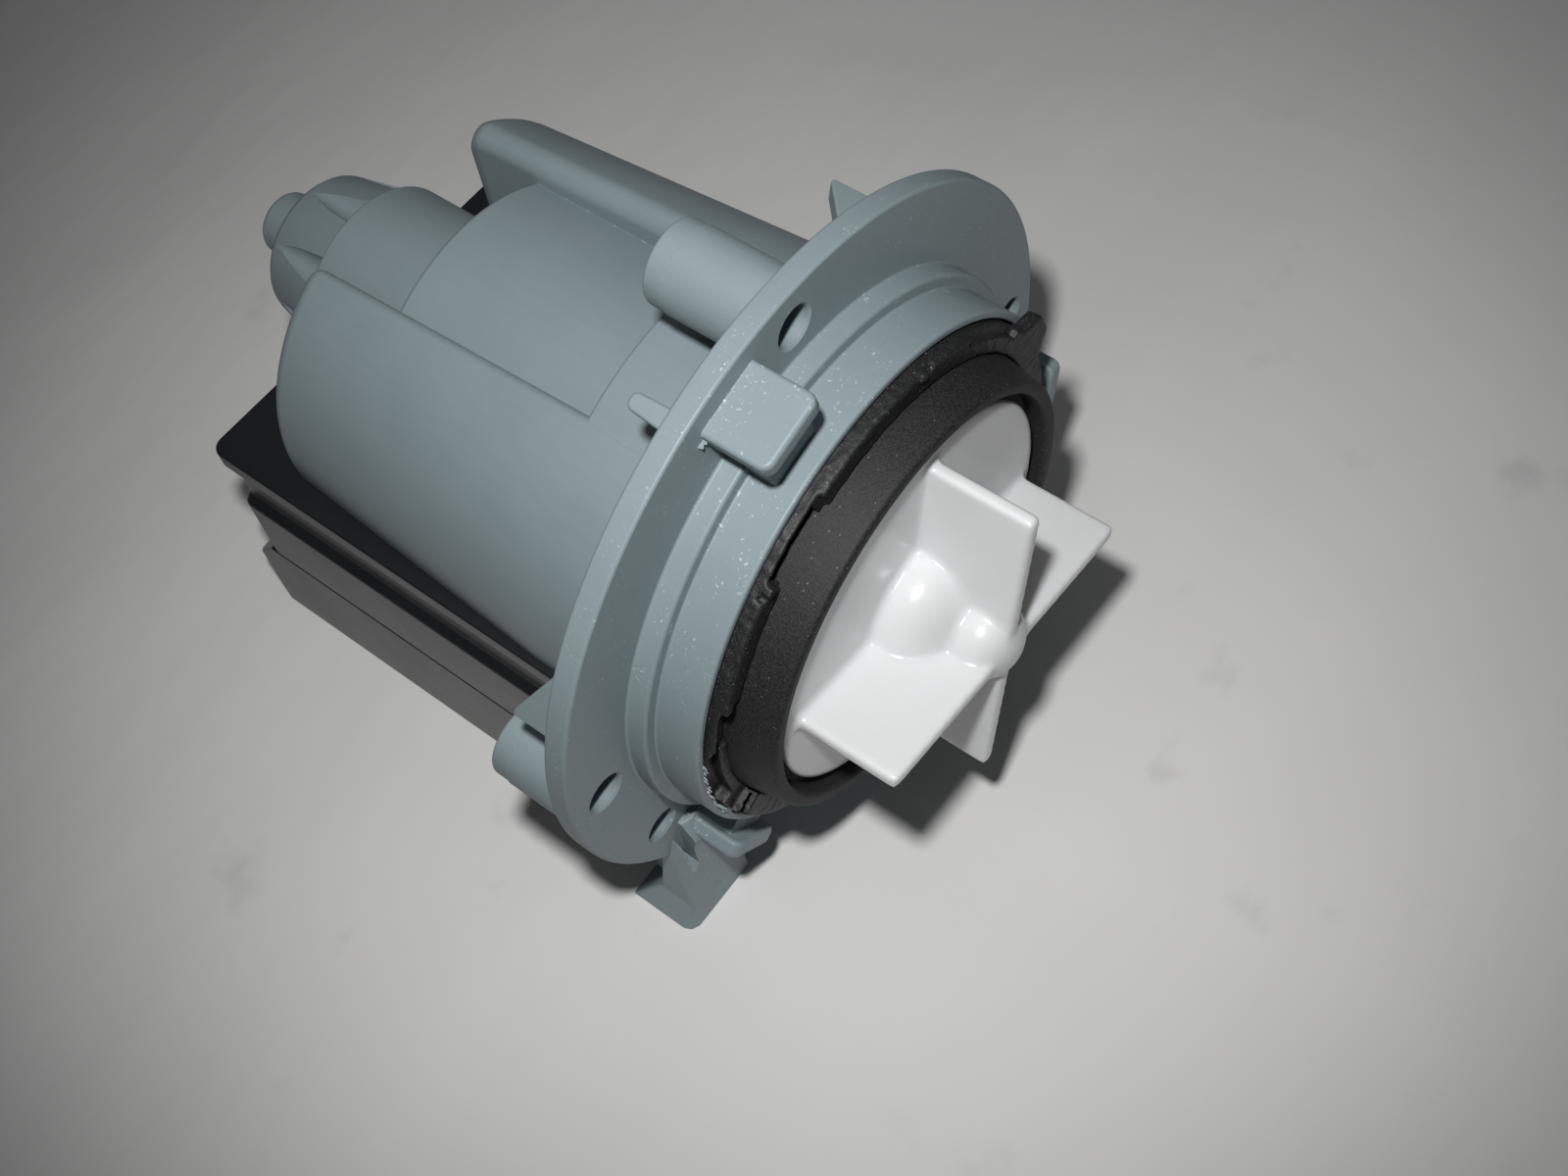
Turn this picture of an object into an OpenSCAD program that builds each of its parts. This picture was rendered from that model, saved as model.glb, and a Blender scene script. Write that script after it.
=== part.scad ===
// Magnet-rotor drain pump of a washing machine, lying on its stator case.
// The pump axis is Y: the front, with the impeller, points to -Y, and +Z is up.
// The origin is on the pump axis, in the front face of the mounting flange.
// Angles are seen from the front, from +X towards +Z.

/* [Mounting flange] */
// Outer radius of the flange
flange_r = 46; // [42:0.5:50]
// Thickness of the flange
flange_t = 3; // [2.6:0.1:3.6]
// Width of the flange around the raised step
step_edge = 10.1; // [9.8:0.1:10.6]
// Height of the raised step above the flange
step_h = 2.7; // [2:0.1:3.4]
// How far the collar that enters the pump chamber is set in from the step
collar_set = 1.7; // [1.4:0.1:1.9]
// Height of the collar above the flange
collar_h = 8.7; // [8.6:0.1:9.6]
// Wall of the collar at its front rim
collar_wall = 1.1; // [0.9:0.1:1.3]
// Depth of the seat of the front cover, from the flange face
seat_h = 4; // [3.6:0.1:4.4]
// Edge break of the turned edges
edge_c = 0.5; // [0.2:0.1:0.7]

/* [Screw holes and bosses] */
// Distance of the middle of a screw hole from the rim of the flange
screw_edge = 5.4; // [5:0.1:5.7]
// Radius of a screw hole
screw_hole_r = 2.5; // [2:0.1:2.8]
// Outer radius of a screw boss
boss_r = 5.2; // [4.6:0.1:5.3]
// Length of the upper screw boss behind the flange
boss_l = 13; // [9:0.5:15]
// Length of the screw bosses at the sides
boss_side_l = 9.8; // [8:0.1:12]
// Radius of the two locating holes
locate_hole_r = 2.3; // [1.8:0.1:2.5]
// Distance of the middle of a locating hole from the rim of the flange
locate_edge = 5.7; // [5.2:0.1:6.1]

/* [Bayonet lugs and fins] */
// Distance of the outer face of the upper lug from the rim of the flange
lug_edge = 3; // [2:0.1:5]
// Distance of the outer face of the two lower lugs from the rim of the flange
lug_low_edge = 5; // [3:0.1:6]
// Width of a lug around the collar
lug_w = 9.4; // [7:0.1:11]
// Thickness of the plate of a lug
lug_t = 2.4; // [1.8:0.1:2.8]
// How much the web under a lug is set back from the plate's edges
lug_web_set = 1.1; // [0.6:0.1:1.6]
// Gap between the front of a lug and the rim of the collar
lug_gap = 0.4; // [0.2:0.1:0.8]
// Corner radius of a lug
lug_corner_r = 1.3; // [0.6:0.1:2]
// Height of the small fins behind the flange
fin_h = 4.6; // [3:0.1:6]
// Width of a wide fin along the rim
fin_w = 6.4; // [5:0.1:8]
// Width of the narrow fin along the rim
fin_narrow_w = 2.6; // [2:0.1:3.6]
// Radial thickness of a fin
fin_t = 2.4; // [1.6:0.1:3]

/* [Motor housing] */
// How far the water chamber inside the base drum is set in from the collar
chamber_set = 8.2; // [7.8:0.1:8.4]
// Wall around the water chamber
base_wall = 3.2; // [3:0.1:3.6]
// Length of the base drum, from the flange face
base_l = 19.6; // [19:0.1:20.2]
// Outer radius of the pole cover
pole_cover_r = 23.4; // [23.2:0.1:23.8]
// Length of the pole cover, from the flange face
pole_cover_l = 52.1; // [51.6:0.1:53]
// How far the centre of a shoulder's outer curve lies off the pump axis
shoulder_shift = 3.4; // [3:0.1:3.6]
// Radius of a shoulder's outer curve at the base drum
shoulder_front_r = 27.8; // [27.4:0.1:28]
// Radius of a shoulder's outer curve at its rear end
shoulder_rear_r = 24.6; // [24.4:0.1:25.2]
// Length of the shoulders, from the flange face
shoulder_l = 64.2; // [60:0.1:66]
// Distance of the inner wall of a shoulder from the middle
shoulder_x = 12.9; // [12.4:0.1:13.4]
// Radius of the rear edge of a shoulder
shoulder_edge_r = 1.2; // [0.8:0.1:2]
// Wall of the moulded housing
wall = 2; // [1.8:0.1:2.1]
// Thickness of the rear wall of the base drum
end_wall = 2.4; // [2:0.1:2.8]

/* [Feet] */
// How far the outer side of a foot is set in from the rim of the flange
foot_edge = 7.5; // [7:0.1:8.5]
// Width of a foot
foot_w = 12.5; // [10:0.1:13]
// How far a foot stands in front of the flange face
foot_front = 3; // [2:0.1:3.6]
// How far the sole of a foot reaches behind the flange face
foot_rear = 7; // [5:0.1:9]
// Width of the slot in the front of a foot
slot_w = 2.3; // [1.6:0.1:3]
// Height of the slot in the front of a foot
slot_h = 10.4; // [8:0.1:12]
// Wall between the slot and the outer side of a foot
slot_wall = 3.5; // [3:0.1:4.5]

/* [Rotor can] */
// Outer radius of the can
can_r = 13.4; // [13.3:0.1:13.6]
// Wall of the can
can_wall = 1.4; // [1.2:0.1:1.5]
// Length of the plain can, from the flange face
can_l = 73.7; // [72.5:0.1:74.5]
// Step from the can down to the crown
can_edge_c = 0.8; // [0.6:0.1:1]
// Radius of the fluted crown at its rear
crown_r = 10.2; // [9.8:0.1:10.8]
// Length of the fluted crown
crown_l = 11; // [10:0.1:12]
// Radius of the crown's rear edge
crown_edge_r = 1.2; // [0.6:0.1:2]
// Radius of the end button
button_r = 5.1; // [3.6:0.1:5.4]
// Length of the end button
button_l = 8.2; // [6:0.1:9]
// Number of flutes around the crown
flute_count = 10; // [6:1:12]
// Radius of a flute
flute_r = 0.9; // [0.6:0.1:1]
// Angle of the first flute
flute_angle = 22.5; // [0:0.5:36]
// Thickness of the can's mounting flange
can_flange_t = 4; // [3.6:0.1:4.6]
// Clearance between the can and what it passes through
can_gap = 0.3; // [0.2:0.05:0.4]

/* [Stator case] */
// Half width of the stator case
case_x = 32.2; // [31.8:0.1:33]
// Height of the case's top plate against the pump axis
case_top_z = -3.3; // [-3.6:0.1:-3]
// Rear end of the case, from the flange face
case_rear_y = 75.9; // [75.5:0.1:78]
// Height of the lip along the top plate
lip_h = 4.2; // [3:0.1:5]
// Depth of the inset below the lip
inset = 1.3; // [0.8:0.1:1.5]
// Height of the inset strip below the lip
inset_h = 6.6; // [5:0.1:8]
// Height of the base cover, from its underside to the seam
cover_h = 18.1; // [17.6:0.1:19]
// Wall of the case and of the base cover
case_wall = 2; // [1.6:0.1:2.2]
// Gap between the rim of the flange and the surface that the pump lies on
rest_gap = 0.3; // [0.2:0.1:1]
// How far the base cover reaches out behind the case
cover_overhang = 5; // [4:0.1:6]
// Height of the upright rear end of the base cover
cover_rear_h = 12.7; // [12.6:0.1:14]
// Wall of the saddle under the can
saddle_wall = 1.3; // [1:0.1:1.5]
// Gap between the base drum and the case
case_gap = 0.4; // [0.2:0.1:0.8]

/* [Stator core and coils] */
// Gap between the coils and the front wall of the case
coil_gap = 1.5; // [1.3:0.1:2]
// Thickness of the lamination stack
stack_l = 19.5; // [18:0.1:19.8]
// Distance of the outer side of a leg from the middle
leg_x = 21.5; // [21:0.1:21.6]
// Width of a leg and height of the yoke
leg_w = 9; // [8.4:0.1:9.2]
// Outer radius of a pole
pole_r = 21; // [20.5:0.1:21.2]
// Gap between the poles and the can
pole_gap = 0.5; // [0.4:0.05:0.7]
// Angle that a pole reaches above and below the middle
pole_reach = 60; // [50:1:64]
// Gap between the coils and the poles above them
coil_top_gap = 2.2; // [1.7:0.1:3]
// Wall of a coil bobbin
bobbin_wall = 1; // [0.8:0.1:1.2]
// Reach of a bobbin's end plates beyond the core
bobbin_reach = 6; // [5.4:0.1:6.2]
// Step of the winding inside the edge of the end plates
winding_step = 0.6; // [0.4:0.1:1]
// Clearance between core, bobbin and case
slip = 0.2; // [0.1:0.05:0.3]
// Radius of a core rivet
rivet_r = 1.6; // [1.2:0.1:1.8]
// Height of a rivet head
rivet_head_h = 0.8; // [0.4:0.1:0.9]

/* [Terminals and case screws] */
// Width of a spade terminal
tab_w = 6.3; // [4.8:0.1:6.3]
// Thickness of a spade terminal
tab_t = 0.8; // [0.5:0.1:0.8]
// Distance between the two spade terminals
tab_pitch = 10; // [9.4:0.1:11]
// Depth of the terminal socket behind the base cover
socket_l = 8; // [6:0.1:9]
// Free height inside the terminal socket
socket_h = 7; // [6.8:0.1:7.1]
// Free width inside the terminal socket
socket_w = 18; // [17:0.1:19]
// Wall of the terminal socket
socket_wall = 1.2; // [1:0.1:1.4]
// Radius of a case screw
case_screw_r = 1.5; // [1.2:0.1:1.7]
// Radius of the head of a case screw
case_screw_head_r = 2.6; // [2.2:0.1:2.8]
// Length of a case screw
case_screw_l = 26; // [22:0.5:28]

/* [Front cover and gasket] */
// How far the root of the cup is set in from the collar
root_set = 4.5; // [4.2:0.1:4.7]
// Taper of the cup from its root to its front lip
cup_taper = 1.2; // [0.9:0.1:1.5]
// Wall of the cup at its front lip
lip_wall = 1.8; // [1.5:0.1:2]
// Height of the front lip above the flange face
lip_front = 15.4; // [15:0.1:16]
// Depth of the cup floor behind the front lip
cup_depth = 3.8; // [3.6:0.1:4.2]
// Thickness of the cup floor
cup_floor = 2; // [1.6:0.1:2.4]
// Thickness of the cover's seating flange
seat_t = 2; // [1.6:0.1:2.2]
// Radius of the well for the coupling
well_r = 10; // [9.8:0.1:10.4]
// Gap between the gasket and the root of the cup
groove_w = 1.2; // [0.8:0.1:1.4]
// How far the gasket stands proud of the collar rim
gasket_proud = 0.15; // [0.1:0.05:0.4]
// Width of the gasket's ear
ear_w = 7; // [5:0.1:8]
// How far the ear reaches out over the collar
ear_reach = 0.6; // [0.4:0.1:1.6]
// Thickness of the ear
ear_t = 1.6; // [1.2:0.1:2.2]
// Width of the housing's key that passes through the gasket
key_w = 2.2; // [1.6:0.1:3]

/* [Bearings and seals] */
// Outer radius of a bush
bush_r = 3.8; // [3.6:0.1:4]
// Length of a bush
bush_l = 7; // [6:0.1:7.2]
// Outer radius of the rubber bush mounts
mount_r = 5.4; // [5.2:0.1:5.8]
// Wall around the front bush mount
mount_wall = 2; // [1.6:0.1:2.2]
// Running clearance between shaft and bush
run_gap = 0.04; // [0.03:0.01:0.06]
// Length of the shaft seal
seal_l = 2.4; // [2:0.1:2.6]
// Radius of the cord of the o-rings
o_ring_r = 0.95; // [0.85:0.05:1.05]
// Thickness of a thrust washer
washer_t = 0.8; // [0.6:0.1:1]
// Outer radius of a thrust washer
washer_r = 3.6; // [3.4:0.1:4]

/* [Rotor] */
// Radius of the rotor shaft
shaft_r = 2; // [1.9:0.05:2.1]
// Radius of the ring magnet
magnet_r = 11.3; // [10.8:0.1:11.5]
// Length of the ring magnet
magnet_l = 32; // [28:0.5:36]
// How far the ring magnet reaches in front of the lamination stack
magnet_lead = 3.5; // [2.5:0.1:4.5]
// Thickness of the rotor end caps
cap_t = 1.5; // [1.2:0.1:2]
// Radius of the nose on a rotor end cap
cap_nose_r = 4; // [3.6:0.1:4.6]
// Radius of the sleeve of the magnet on the shaft
magnet_bore_r = 4; // [3.6:0.1:4.6]
// End gap at a thrust washer
end_gap = 0.2; // [0.15:0.05:0.3]

/* [Impeller] */
// Gap between the rim of the impeller disc and the cup
disc_play = 1.4; // [1.1:0.1:1.9]
// Thickness of the impeller disc
disc_t = 1.2; // [1:0.1:1.6]
// Gap between the impeller disc and the cup floor
disc_gap = 1; // [0.7:0.1:1.2]
// How far the blade tips are set in from the rim of the disc
blade_set = 2.9; // [1.8:0.1:5]
// Height of the blades in front of the disc
blade_h = 13.3; // [10:0.1:15]
// Thickness of a blade at its root
blade_t = 1.9; // [1.4:0.1:2.4]
// Radius of the hub at the disc
hub_r = 9.8; // [9:0.1:10.4]
// Height of the straight part of the hub
hub_h = 3.4; // [2.6:0.1:4]
// Height of the hub's cone
cone_h = 4.6; // [4:0.1:5]
// Radius of the nose of the hub
nose_r = 5.6; // [5:0.1:6]
// Radius of the nose's front edge
nose_edge_r = 3; // [2:0.1:3.4]
// Radius of the coupling skirt behind the disc
skirt_r = 8.8; // [8.6:0.1:9]
// Wall of the coupling skirt
skirt_wall = 1.4; // [1.2:0.1:1.5]
// Angle of the first blade
blade_angle = 80; // [60:1:100]

/* [Lost-motion coupling] */
// Radius of the hub of the drive dog
dog_hub_r = 4.1; // [3.8:0.1:4.2]
// Half angle of the drive dog
dog_half = 35; // [25:1:40]
// Half angle of the impeller's key
key_half = 30; // [22:1:34]
// Angle of a rubber buffer beside the key
buffer_angle = 8; // [5:1:10]
// Radial play inside the coupling
dog_gap = 0.25; // [0.15:0.05:0.35]

/* [Hidden] */
$fn = 96;

// Overrun of every cut
over = 0.5;
// Colours as the object shows them
blue_grey = [0.53, 0.59, 0.62];
black = [0.1, 0.1, 0.11];
rubber_black = [0.14, 0.14, 0.15];
impeller_white = [0.92, 0.93, 0.94];
steel = [0.72, 0.73, 0.75];
core_steel = [0.45, 0.46, 0.48];
copper = [0.72, 0.4, 0.2];
ferrite = [0.22, 0.22, 0.24];
nylon = [0.85, 0.84, 0.8];
brass = [0.8, 0.68, 0.36];

// Places of the holes, lugs and fins around the axis
screw_angles = [0, 90, 180, 270];
locate_angles = [210, 330];
upper_lug_angle = 105;
low_lug_angles = [225, 348];
key_angle = 200;
upper_fin_angle = 71.5;
side_fin_angle = 153.2;
narrow_fin_angle = 112;
half_turn = 180;
quarter_turn = 90;
full_turn = 360;

// Heights and places that follow from the sizes above
step_r = flange_r - step_edge;
collar_r = step_r - collar_set;
chamber_r = collar_r - chamber_set;
base_r = chamber_r + base_wall;
root_r = collar_r - root_set;
lip_r = root_r - cup_taper;
cup_r = lip_r - lip_wall;
disc_r = cup_r - disc_play;
blade_r = disc_r - blade_set;
ear_r = collar_r + ear_reach;
lug_r = flange_r - lug_edge;
lug_low_r = flange_r - lug_low_edge;
foot_x = flange_r - foot_edge;
screw_circle_r = flange_r - screw_edge;
locate_circle_r = flange_r - locate_edge;
floor_z = -flange_r - rest_gap;
case_y = base_l + case_gap;
inset_z = case_top_z - lip_h;
flare_z = inset_z - inset_h;
slope_z = floor_z + cover_rear_h;
seam_z = floor_z + cover_h;
seam_depth = case_top_z - seam_z;
case_in_x = case_x - inset - case_wall;
cover_in_x = case_x - case_wall;
cover_rear_y = case_rear_y + cover_overhang;
cover_floor_z = floor_z + case_wall;
chamber_y = base_l - end_wall;
can_pass_r = can_r + can_gap;
can_in_r = can_r - can_wall;
yoke_z = cover_floor_z + slip;
bobbin_h = -pole_r * sin(pole_reach) - coil_top_gap - coil_z();
stack_y = case_y + case_wall + coil_gap + bobbin_reach;
stack_end = stack_y + stack_l;
magnet_y = stack_y - magnet_lead;
pole_bore_r = can_r + pole_gap;
shell_in_r = pole_cover_r - wall;

module turned_y() rotate([-quarter_turn, 0, 0]) rotate_extrude() children();
module slab_y(y, l) translate([0, y + l, 0]) rotate([quarter_turn, 0, 0]) linear_extrude(l) children();
module rod_y(r, y, l) translate([0, y, 0]) rotate([-quarter_turn, 0, 0]) cylinder(r = r, h = l);
module ring_y(ro, ri, y, l) turned_y() translate([ri, y]) square([ro - ri, l]);
module disc_y(r, y, l, c) turned_y()
    polygon([[0, y], [r - c, y], [r, y + c], [r, y + l - c], [r - c, y + l], [0, y + l]]);
module at_angle(a) rotate([0, -a, 0]) children();
module both_sides() {
    children();
    mirror([1, 0, 0]) children();
}

// Points of a quarter circle of radius r around [x, y], from the side of the axis outwards
arc_steps = 8;
function quarter_arc(x, y, r) =
    [for (i = [0 : arc_steps])
        [x + r * cos(i * quarter_turn / arc_steps), y + r * sin(i * quarter_turn / arc_steps)]];

// Rectangle with round corners, centred on its middle
module round_rect(w, h, r) {
    square([w - 2 * r, h], center = true);
    square([w, h - 2 * r], center = true);
    for (sx = [-1, 1], sz = [-1, 1]) translate([sx * (w / 2 - r), sz * (h / 2 - r)]) circle(r);
}

// Sector of a ring in the plane across the pump axis, around angle a
module sector(ro, ri, a, half) intersection() {
    difference() {
        circle(ro);
        circle(ri);
    }
    rotate(a) polygon([[0, 0], [2 * ro * cos(half), -2 * ro * sin(half)], [2 * ro / cos(half / 2), 0],
        [2 * ro * cos(half), 2 * ro * sin(half)]]);
}

// Motor housing
// Shoulder on the side given by s, its outer curve struck from a centre beside the pump axis
module shoulder(s, shrink, front_y) intersection() {
    rear_r = shoulder_rear_r - shrink;
    rear_y = shoulder_l - shrink;
    front_r = shoulder_front_r - shrink;
    straight = front_y < base_l ? [[front_r, base_l]] : [];
    translate([s * shoulder_shift, 0, 0]) turned_y()
        polygon(concat([[0, front_y], [front_r, front_y]], straight,
        quarter_arc(rear_r - shoulder_edge_r, rear_y - shoulder_edge_r, shoulder_edge_r), [[0, rear_y]]));
    slab_y(front_y, rear_y - front_y)
        translate([s * (shoulder_x + shrink + base_r / 2), base_r / 2 + case_top_z - over])
        square([base_r, base_r + over], center = true);
}

module above_case() translate([-case_x, -flange_t, case_top_z])
    cube([2 * case_x, 2 * shoulder_l, 2 * case_x]);

module housing_shell() intersection() {
    union() {
        rod_y(pole_cover_r, base_l - end_wall, pole_cover_l - base_l + end_wall);
        for (s = [-1, 1]) shoulder(s, 0, flange_t / 2);
    }
    above_case();
}

module housing_cavity() {
    rod_y(shell_in_r, base_l, pole_cover_l - base_l - wall);
    for (s = [-1, 1]) shoulder(s, wall, base_l);
}

// Lug: a plate that stands free at its front, on a web from the collar
module lug(r) {
    lug_l = collar_h - lug_gap;
    plate_in_r = r - lug_t;
    mid_r = collar_r - collar_wall / 2;
    web_w = lug_w - 2 * lug_web_set;
    web_l = lug_l - 2 * lug_web_set;
    translate([plate_in_r, -lug_l / 2, 0]) rotate([0, quarter_turn, 0]) linear_extrude(lug_t)
        round_rect(lug_w, lug_l, lug_corner_r);
    translate([plate_in_r, -lug_l / 2, -lug_w / 2]) cube([lug_t, lug_l / 2 + flange_t / 2, lug_w]);
    translate([mid_r, -web_l, -web_w / 2]) cube([r - mid_r - lug_t / 2, web_l + flange_t / 2, web_w]);
}

// Fin whose high end lies on the side given by s
module fin(w, s) {
    fin_r = flange_r - edge_c - fin_t;
    translate([fin_r, flange_t, 0]) rotate([0, quarter_turn, 0]) linear_extrude(fin_t)
        polygon([[-s * w / 2, -flange_t / 2], [s * w / 2, -flange_t / 2], [s * w / 2, 0],
            [-s * w / 2 + s * w / 5, fin_h], [-s * w / 2, fin_h]]);
}

// Foot under the flange: its side outline runs back down to the sole
module foot() {
    top_z = floor_z / 2;
    mid_z = (floor_z + top_z) / 2;
    translate([foot_x - foot_w, 0, 0]) rotate([quarter_turn, 0, quarter_turn]) linear_extrude(foot_w)
        polygon([[-foot_front, floor_z], [foot_rear, floor_z], [flange_t, mid_z], [flange_t / 2, top_z],
            [0, top_z], [-foot_front, top_z - foot_front]]);
}

// Slot in the front of a foot
module foot_slot()
    translate([foot_x - slot_wall - slot_w, -foot_front - over, floor_z / 2 - slot_h + foot_front / 2])
    cube([slot_w, foot_front + over, slot_h]);

// Key inside the collar that sets the angle of the front cover
module collar_key() at_angle(key_angle) translate([root_r + groove_w + slip, -collar_h, -key_w / 2])
    cube([collar_r - collar_wall / 2 - root_r - groove_w - slip, collar_h - seat_h - seat_t - slip, key_w]);

module motor_housing() color(blue_grey) {
    collar_key();
    housing_body();
}

module housing_body() difference() {
    union() {
        disc_y(flange_r, 0, flange_t, edge_c);
        disc_y(step_r, -step_h, step_h + flange_t / 2, edge_c);
        disc_y(collar_r, -collar_h, collar_h + flange_t / 2, edge_c / 2);
        rod_y(base_r, flange_t / 2, base_l - flange_t / 2);
        housing_shell();
        at_angle(quarter_turn) translate([screw_circle_r, 0, 0])
            disc_y(boss_r, flange_t / 2, boss_l + flange_t / 2, edge_c);
        for (a = [0, half_turn]) at_angle(a) translate([screw_circle_r, 0, 0])
            disc_y(boss_r, flange_t / 2, boss_side_l + flange_t / 2, edge_c);
        at_angle(upper_lug_angle) lug(lug_r);
        for (a = low_lug_angles) at_angle(a) lug(lug_low_r);
        at_angle(upper_fin_angle) fin(fin_w, -1);
        at_angle(side_fin_angle) fin(fin_w, 1);
        at_angle(narrow_fin_angle) fin(fin_narrow_w, 1);
        both_sides() foot();
    }
    rod_y(collar_r - collar_wall, -collar_h - over, collar_h - seat_h + over);
    rod_y(chamber_r, -seat_h - over, chamber_y + seat_h + over);
    rod_y(can_pass_r, 0, shoulder_l + over);
    housing_cavity();
    for (a = screw_angles) at_angle(a) translate([screw_circle_r, 0, 0])
        rod_y(screw_hole_r, -over, boss_l + flange_t + 2 * over);
    for (a = locate_angles) at_angle(a) translate([locate_circle_r, 0, 0])
        rod_y(locate_hole_r, -foot_front - over, flange_t + foot_front + 2 * over);
    both_sides() foot_slot();
}

// Rotor can with its mounting flange, fluted crown, domed end and button
module rotor_can() color(blue_grey) difference() {
    crown_y = can_l + crown_l;
    flange_y = chamber_y - can_flange_t;
    flange_out_r = chamber_r - can_gap;
    crown_root_r = can_r - can_edge_c;
    bearing_end = rear_bush_y() + bush_l + end_gap;
    union() {
        turned_y() polygon(concat([[0, flange_y], [flange_out_r, flange_y], [flange_out_r, chamber_y],
            [can_r, chamber_y], [can_r, can_l - can_edge_c], [crown_root_r, can_l]],
            quarter_arc(crown_r - crown_edge_r, crown_y - crown_edge_r, crown_edge_r), [[0, crown_y]]));
        disc_y(button_r, crown_y - crown_edge_r, crown_edge_r + button_l, 2 * edge_c);
    }
    rod_y(can_in_r, flange_y - over, can_l - can_wall - flange_y + over);
    rod_y(mount_r, flange_y, bearing_end - flange_y);
    turned_y() translate([o_groove_r(), chamber_y - can_flange_t / 2 - 1.1 * o_ring_r])
        square([2 * o_ring_r, 2.2 * o_ring_r]);
    for (i = [0 : flute_count - 1]) at_angle(flute_angle + i * full_turn / flute_count)
        translate([crown_root_r + flute_r / 4, can_l + flute_r, 0])
        rotate([-quarter_turn, 0, atan2(crown_root_r - crown_r, crown_l)]) {
            cylinder(r = flute_r, h = crown_l);
            sphere(r = flute_r);
        }
}

// Stator case: box under the housing with a lip, an inset strip and a saddle for the can
module case_outline(shrink) polygon([
    [-case_x + shrink, case_top_z], [case_x - shrink, case_top_z],
    [case_x - shrink, inset_z + inset], [case_x - inset - shrink, inset_z],
    [case_x - inset - shrink, flare_z], [case_x - shrink, flare_z - inset],
    [case_x - shrink, seam_z], [-case_x + shrink, seam_z],
    [-case_x + shrink, flare_z - inset], [-case_x + inset + shrink, flare_z],
    [-case_x + inset + shrink, inset_z], [-case_x + shrink, inset_z + inset]]);

module case_pillars(r, z, h) both_sides() for (y = case_screw_rows()) translate([case_screw_x(), y, z])
    cylinder(r = r, h = h);

module stator_case() color(black) difference() {
    case_l = case_rear_y - case_y;
    saddle_r = can_pass_r + saddle_wall;
    arm_x = leg_x + slip;
    union() {
        difference() {
            slab_y(case_y, case_l) case_outline(0);
            translate([-case_in_x, case_y + case_wall, seam_z - over])
                cube([2 * case_in_x, case_l - 2 * case_wall, seam_depth - case_wall + over]);
        }
        intersection() {
            rod_y(saddle_r, pole_cover_l, case_rear_y - pole_cover_l);
            translate([-saddle_r, 0, -saddle_r]) cube([2 * saddle_r, case_rear_y, saddle_r + case_top_z]);
        }
        case_pillars(2 * case_screw_r, seam_z, seam_depth - case_wall / 2);
    }
    rod_y(can_pass_r, case_y - over, case_l + 2 * over);
    translate([-arm_x, stack_y - slip - bobbin_wall, case_top_z - 2 * case_wall])
        cube([2 * arm_x, stack_l + 2 * slip + 2 * bobbin_wall, 2 * case_wall + over]);
    case_pillars(case_screw_r, floor_z, case_screw_l + case_screw_head_h() + slip);
}

function case_screw_head_h() = case_wall / 2;
function case_screw_x() = case_in_x - 1.6 * case_screw_r;
function case_screw_rows() = [stack_end + bobbin_reach + 3 * case_screw_r + slip,
    case_rear_y - case_wall - 1.6 * case_screw_r];

// Base cover: tray that closes the case and reaches out behind it
module tray(x, profile) translate([-x, 0, 0]) rotate([quarter_turn, 0, quarter_turn]) linear_extrude(2 * x)
    polygon(profile);

module base_cover() color(black) difference() {
    rim_z = seam_z - slip / 2;
    drop = rim_z - slope_z;
    wall_drop = case_wall * norm([cover_overhang, drop]) / cover_overhang - case_wall * drop / cover_overhang;
    in_front_y = case_y + case_wall;
    in_step_y = case_rear_y - case_wall;
    in_rear_y = cover_rear_y - case_wall;
    out_w = socket_w + 2 * socket_wall;
    out_h = socket_h + 2 * socket_wall;
    union() {
        difference() {
            tray(case_x, [[case_y, floor_z], [cover_rear_y, floor_z], [cover_rear_y, slope_z],
                [case_rear_y, rim_z], [case_y, rim_z]]);
            tray(cover_in_x, [[in_front_y, cover_floor_z], [in_rear_y, cover_floor_z],
                [in_rear_y, slope_z - wall_drop], [in_step_y, rim_z - wall_drop],
                [in_step_y, rim_z + over], [in_front_y, rim_z + over]]);
        }
        case_pillars(2 * case_screw_r, floor_z + case_wall / 2, rim_z - floor_z - case_wall / 2);
    }
    case_pillars(case_screw_r + slip, floor_z - over, rim_z - floor_z + 2 * over);
    case_pillars(case_screw_head_r + slip, floor_z - over, case_screw_head_h() + over);
    translate([-out_w / 2 - slip / 2, in_rear_y - over, socket_z() - out_h / 2 - slip / 2])
        cube([out_w + slip, case_wall + 2 * over, out_h + slip]);
}

function socket_z() = cover_floor_z + socket_h / 2 + socket_wall + slip / 2;

// Case screws, heads sunk in the underside of the base cover
module case_screws() color(steel) {
    case_pillars(case_screw_r, floor_z + slip, case_screw_l);
    case_pillars(case_screw_head_r, floor_z + slip, case_screw_head_h() - 2 * slip);
}

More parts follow.
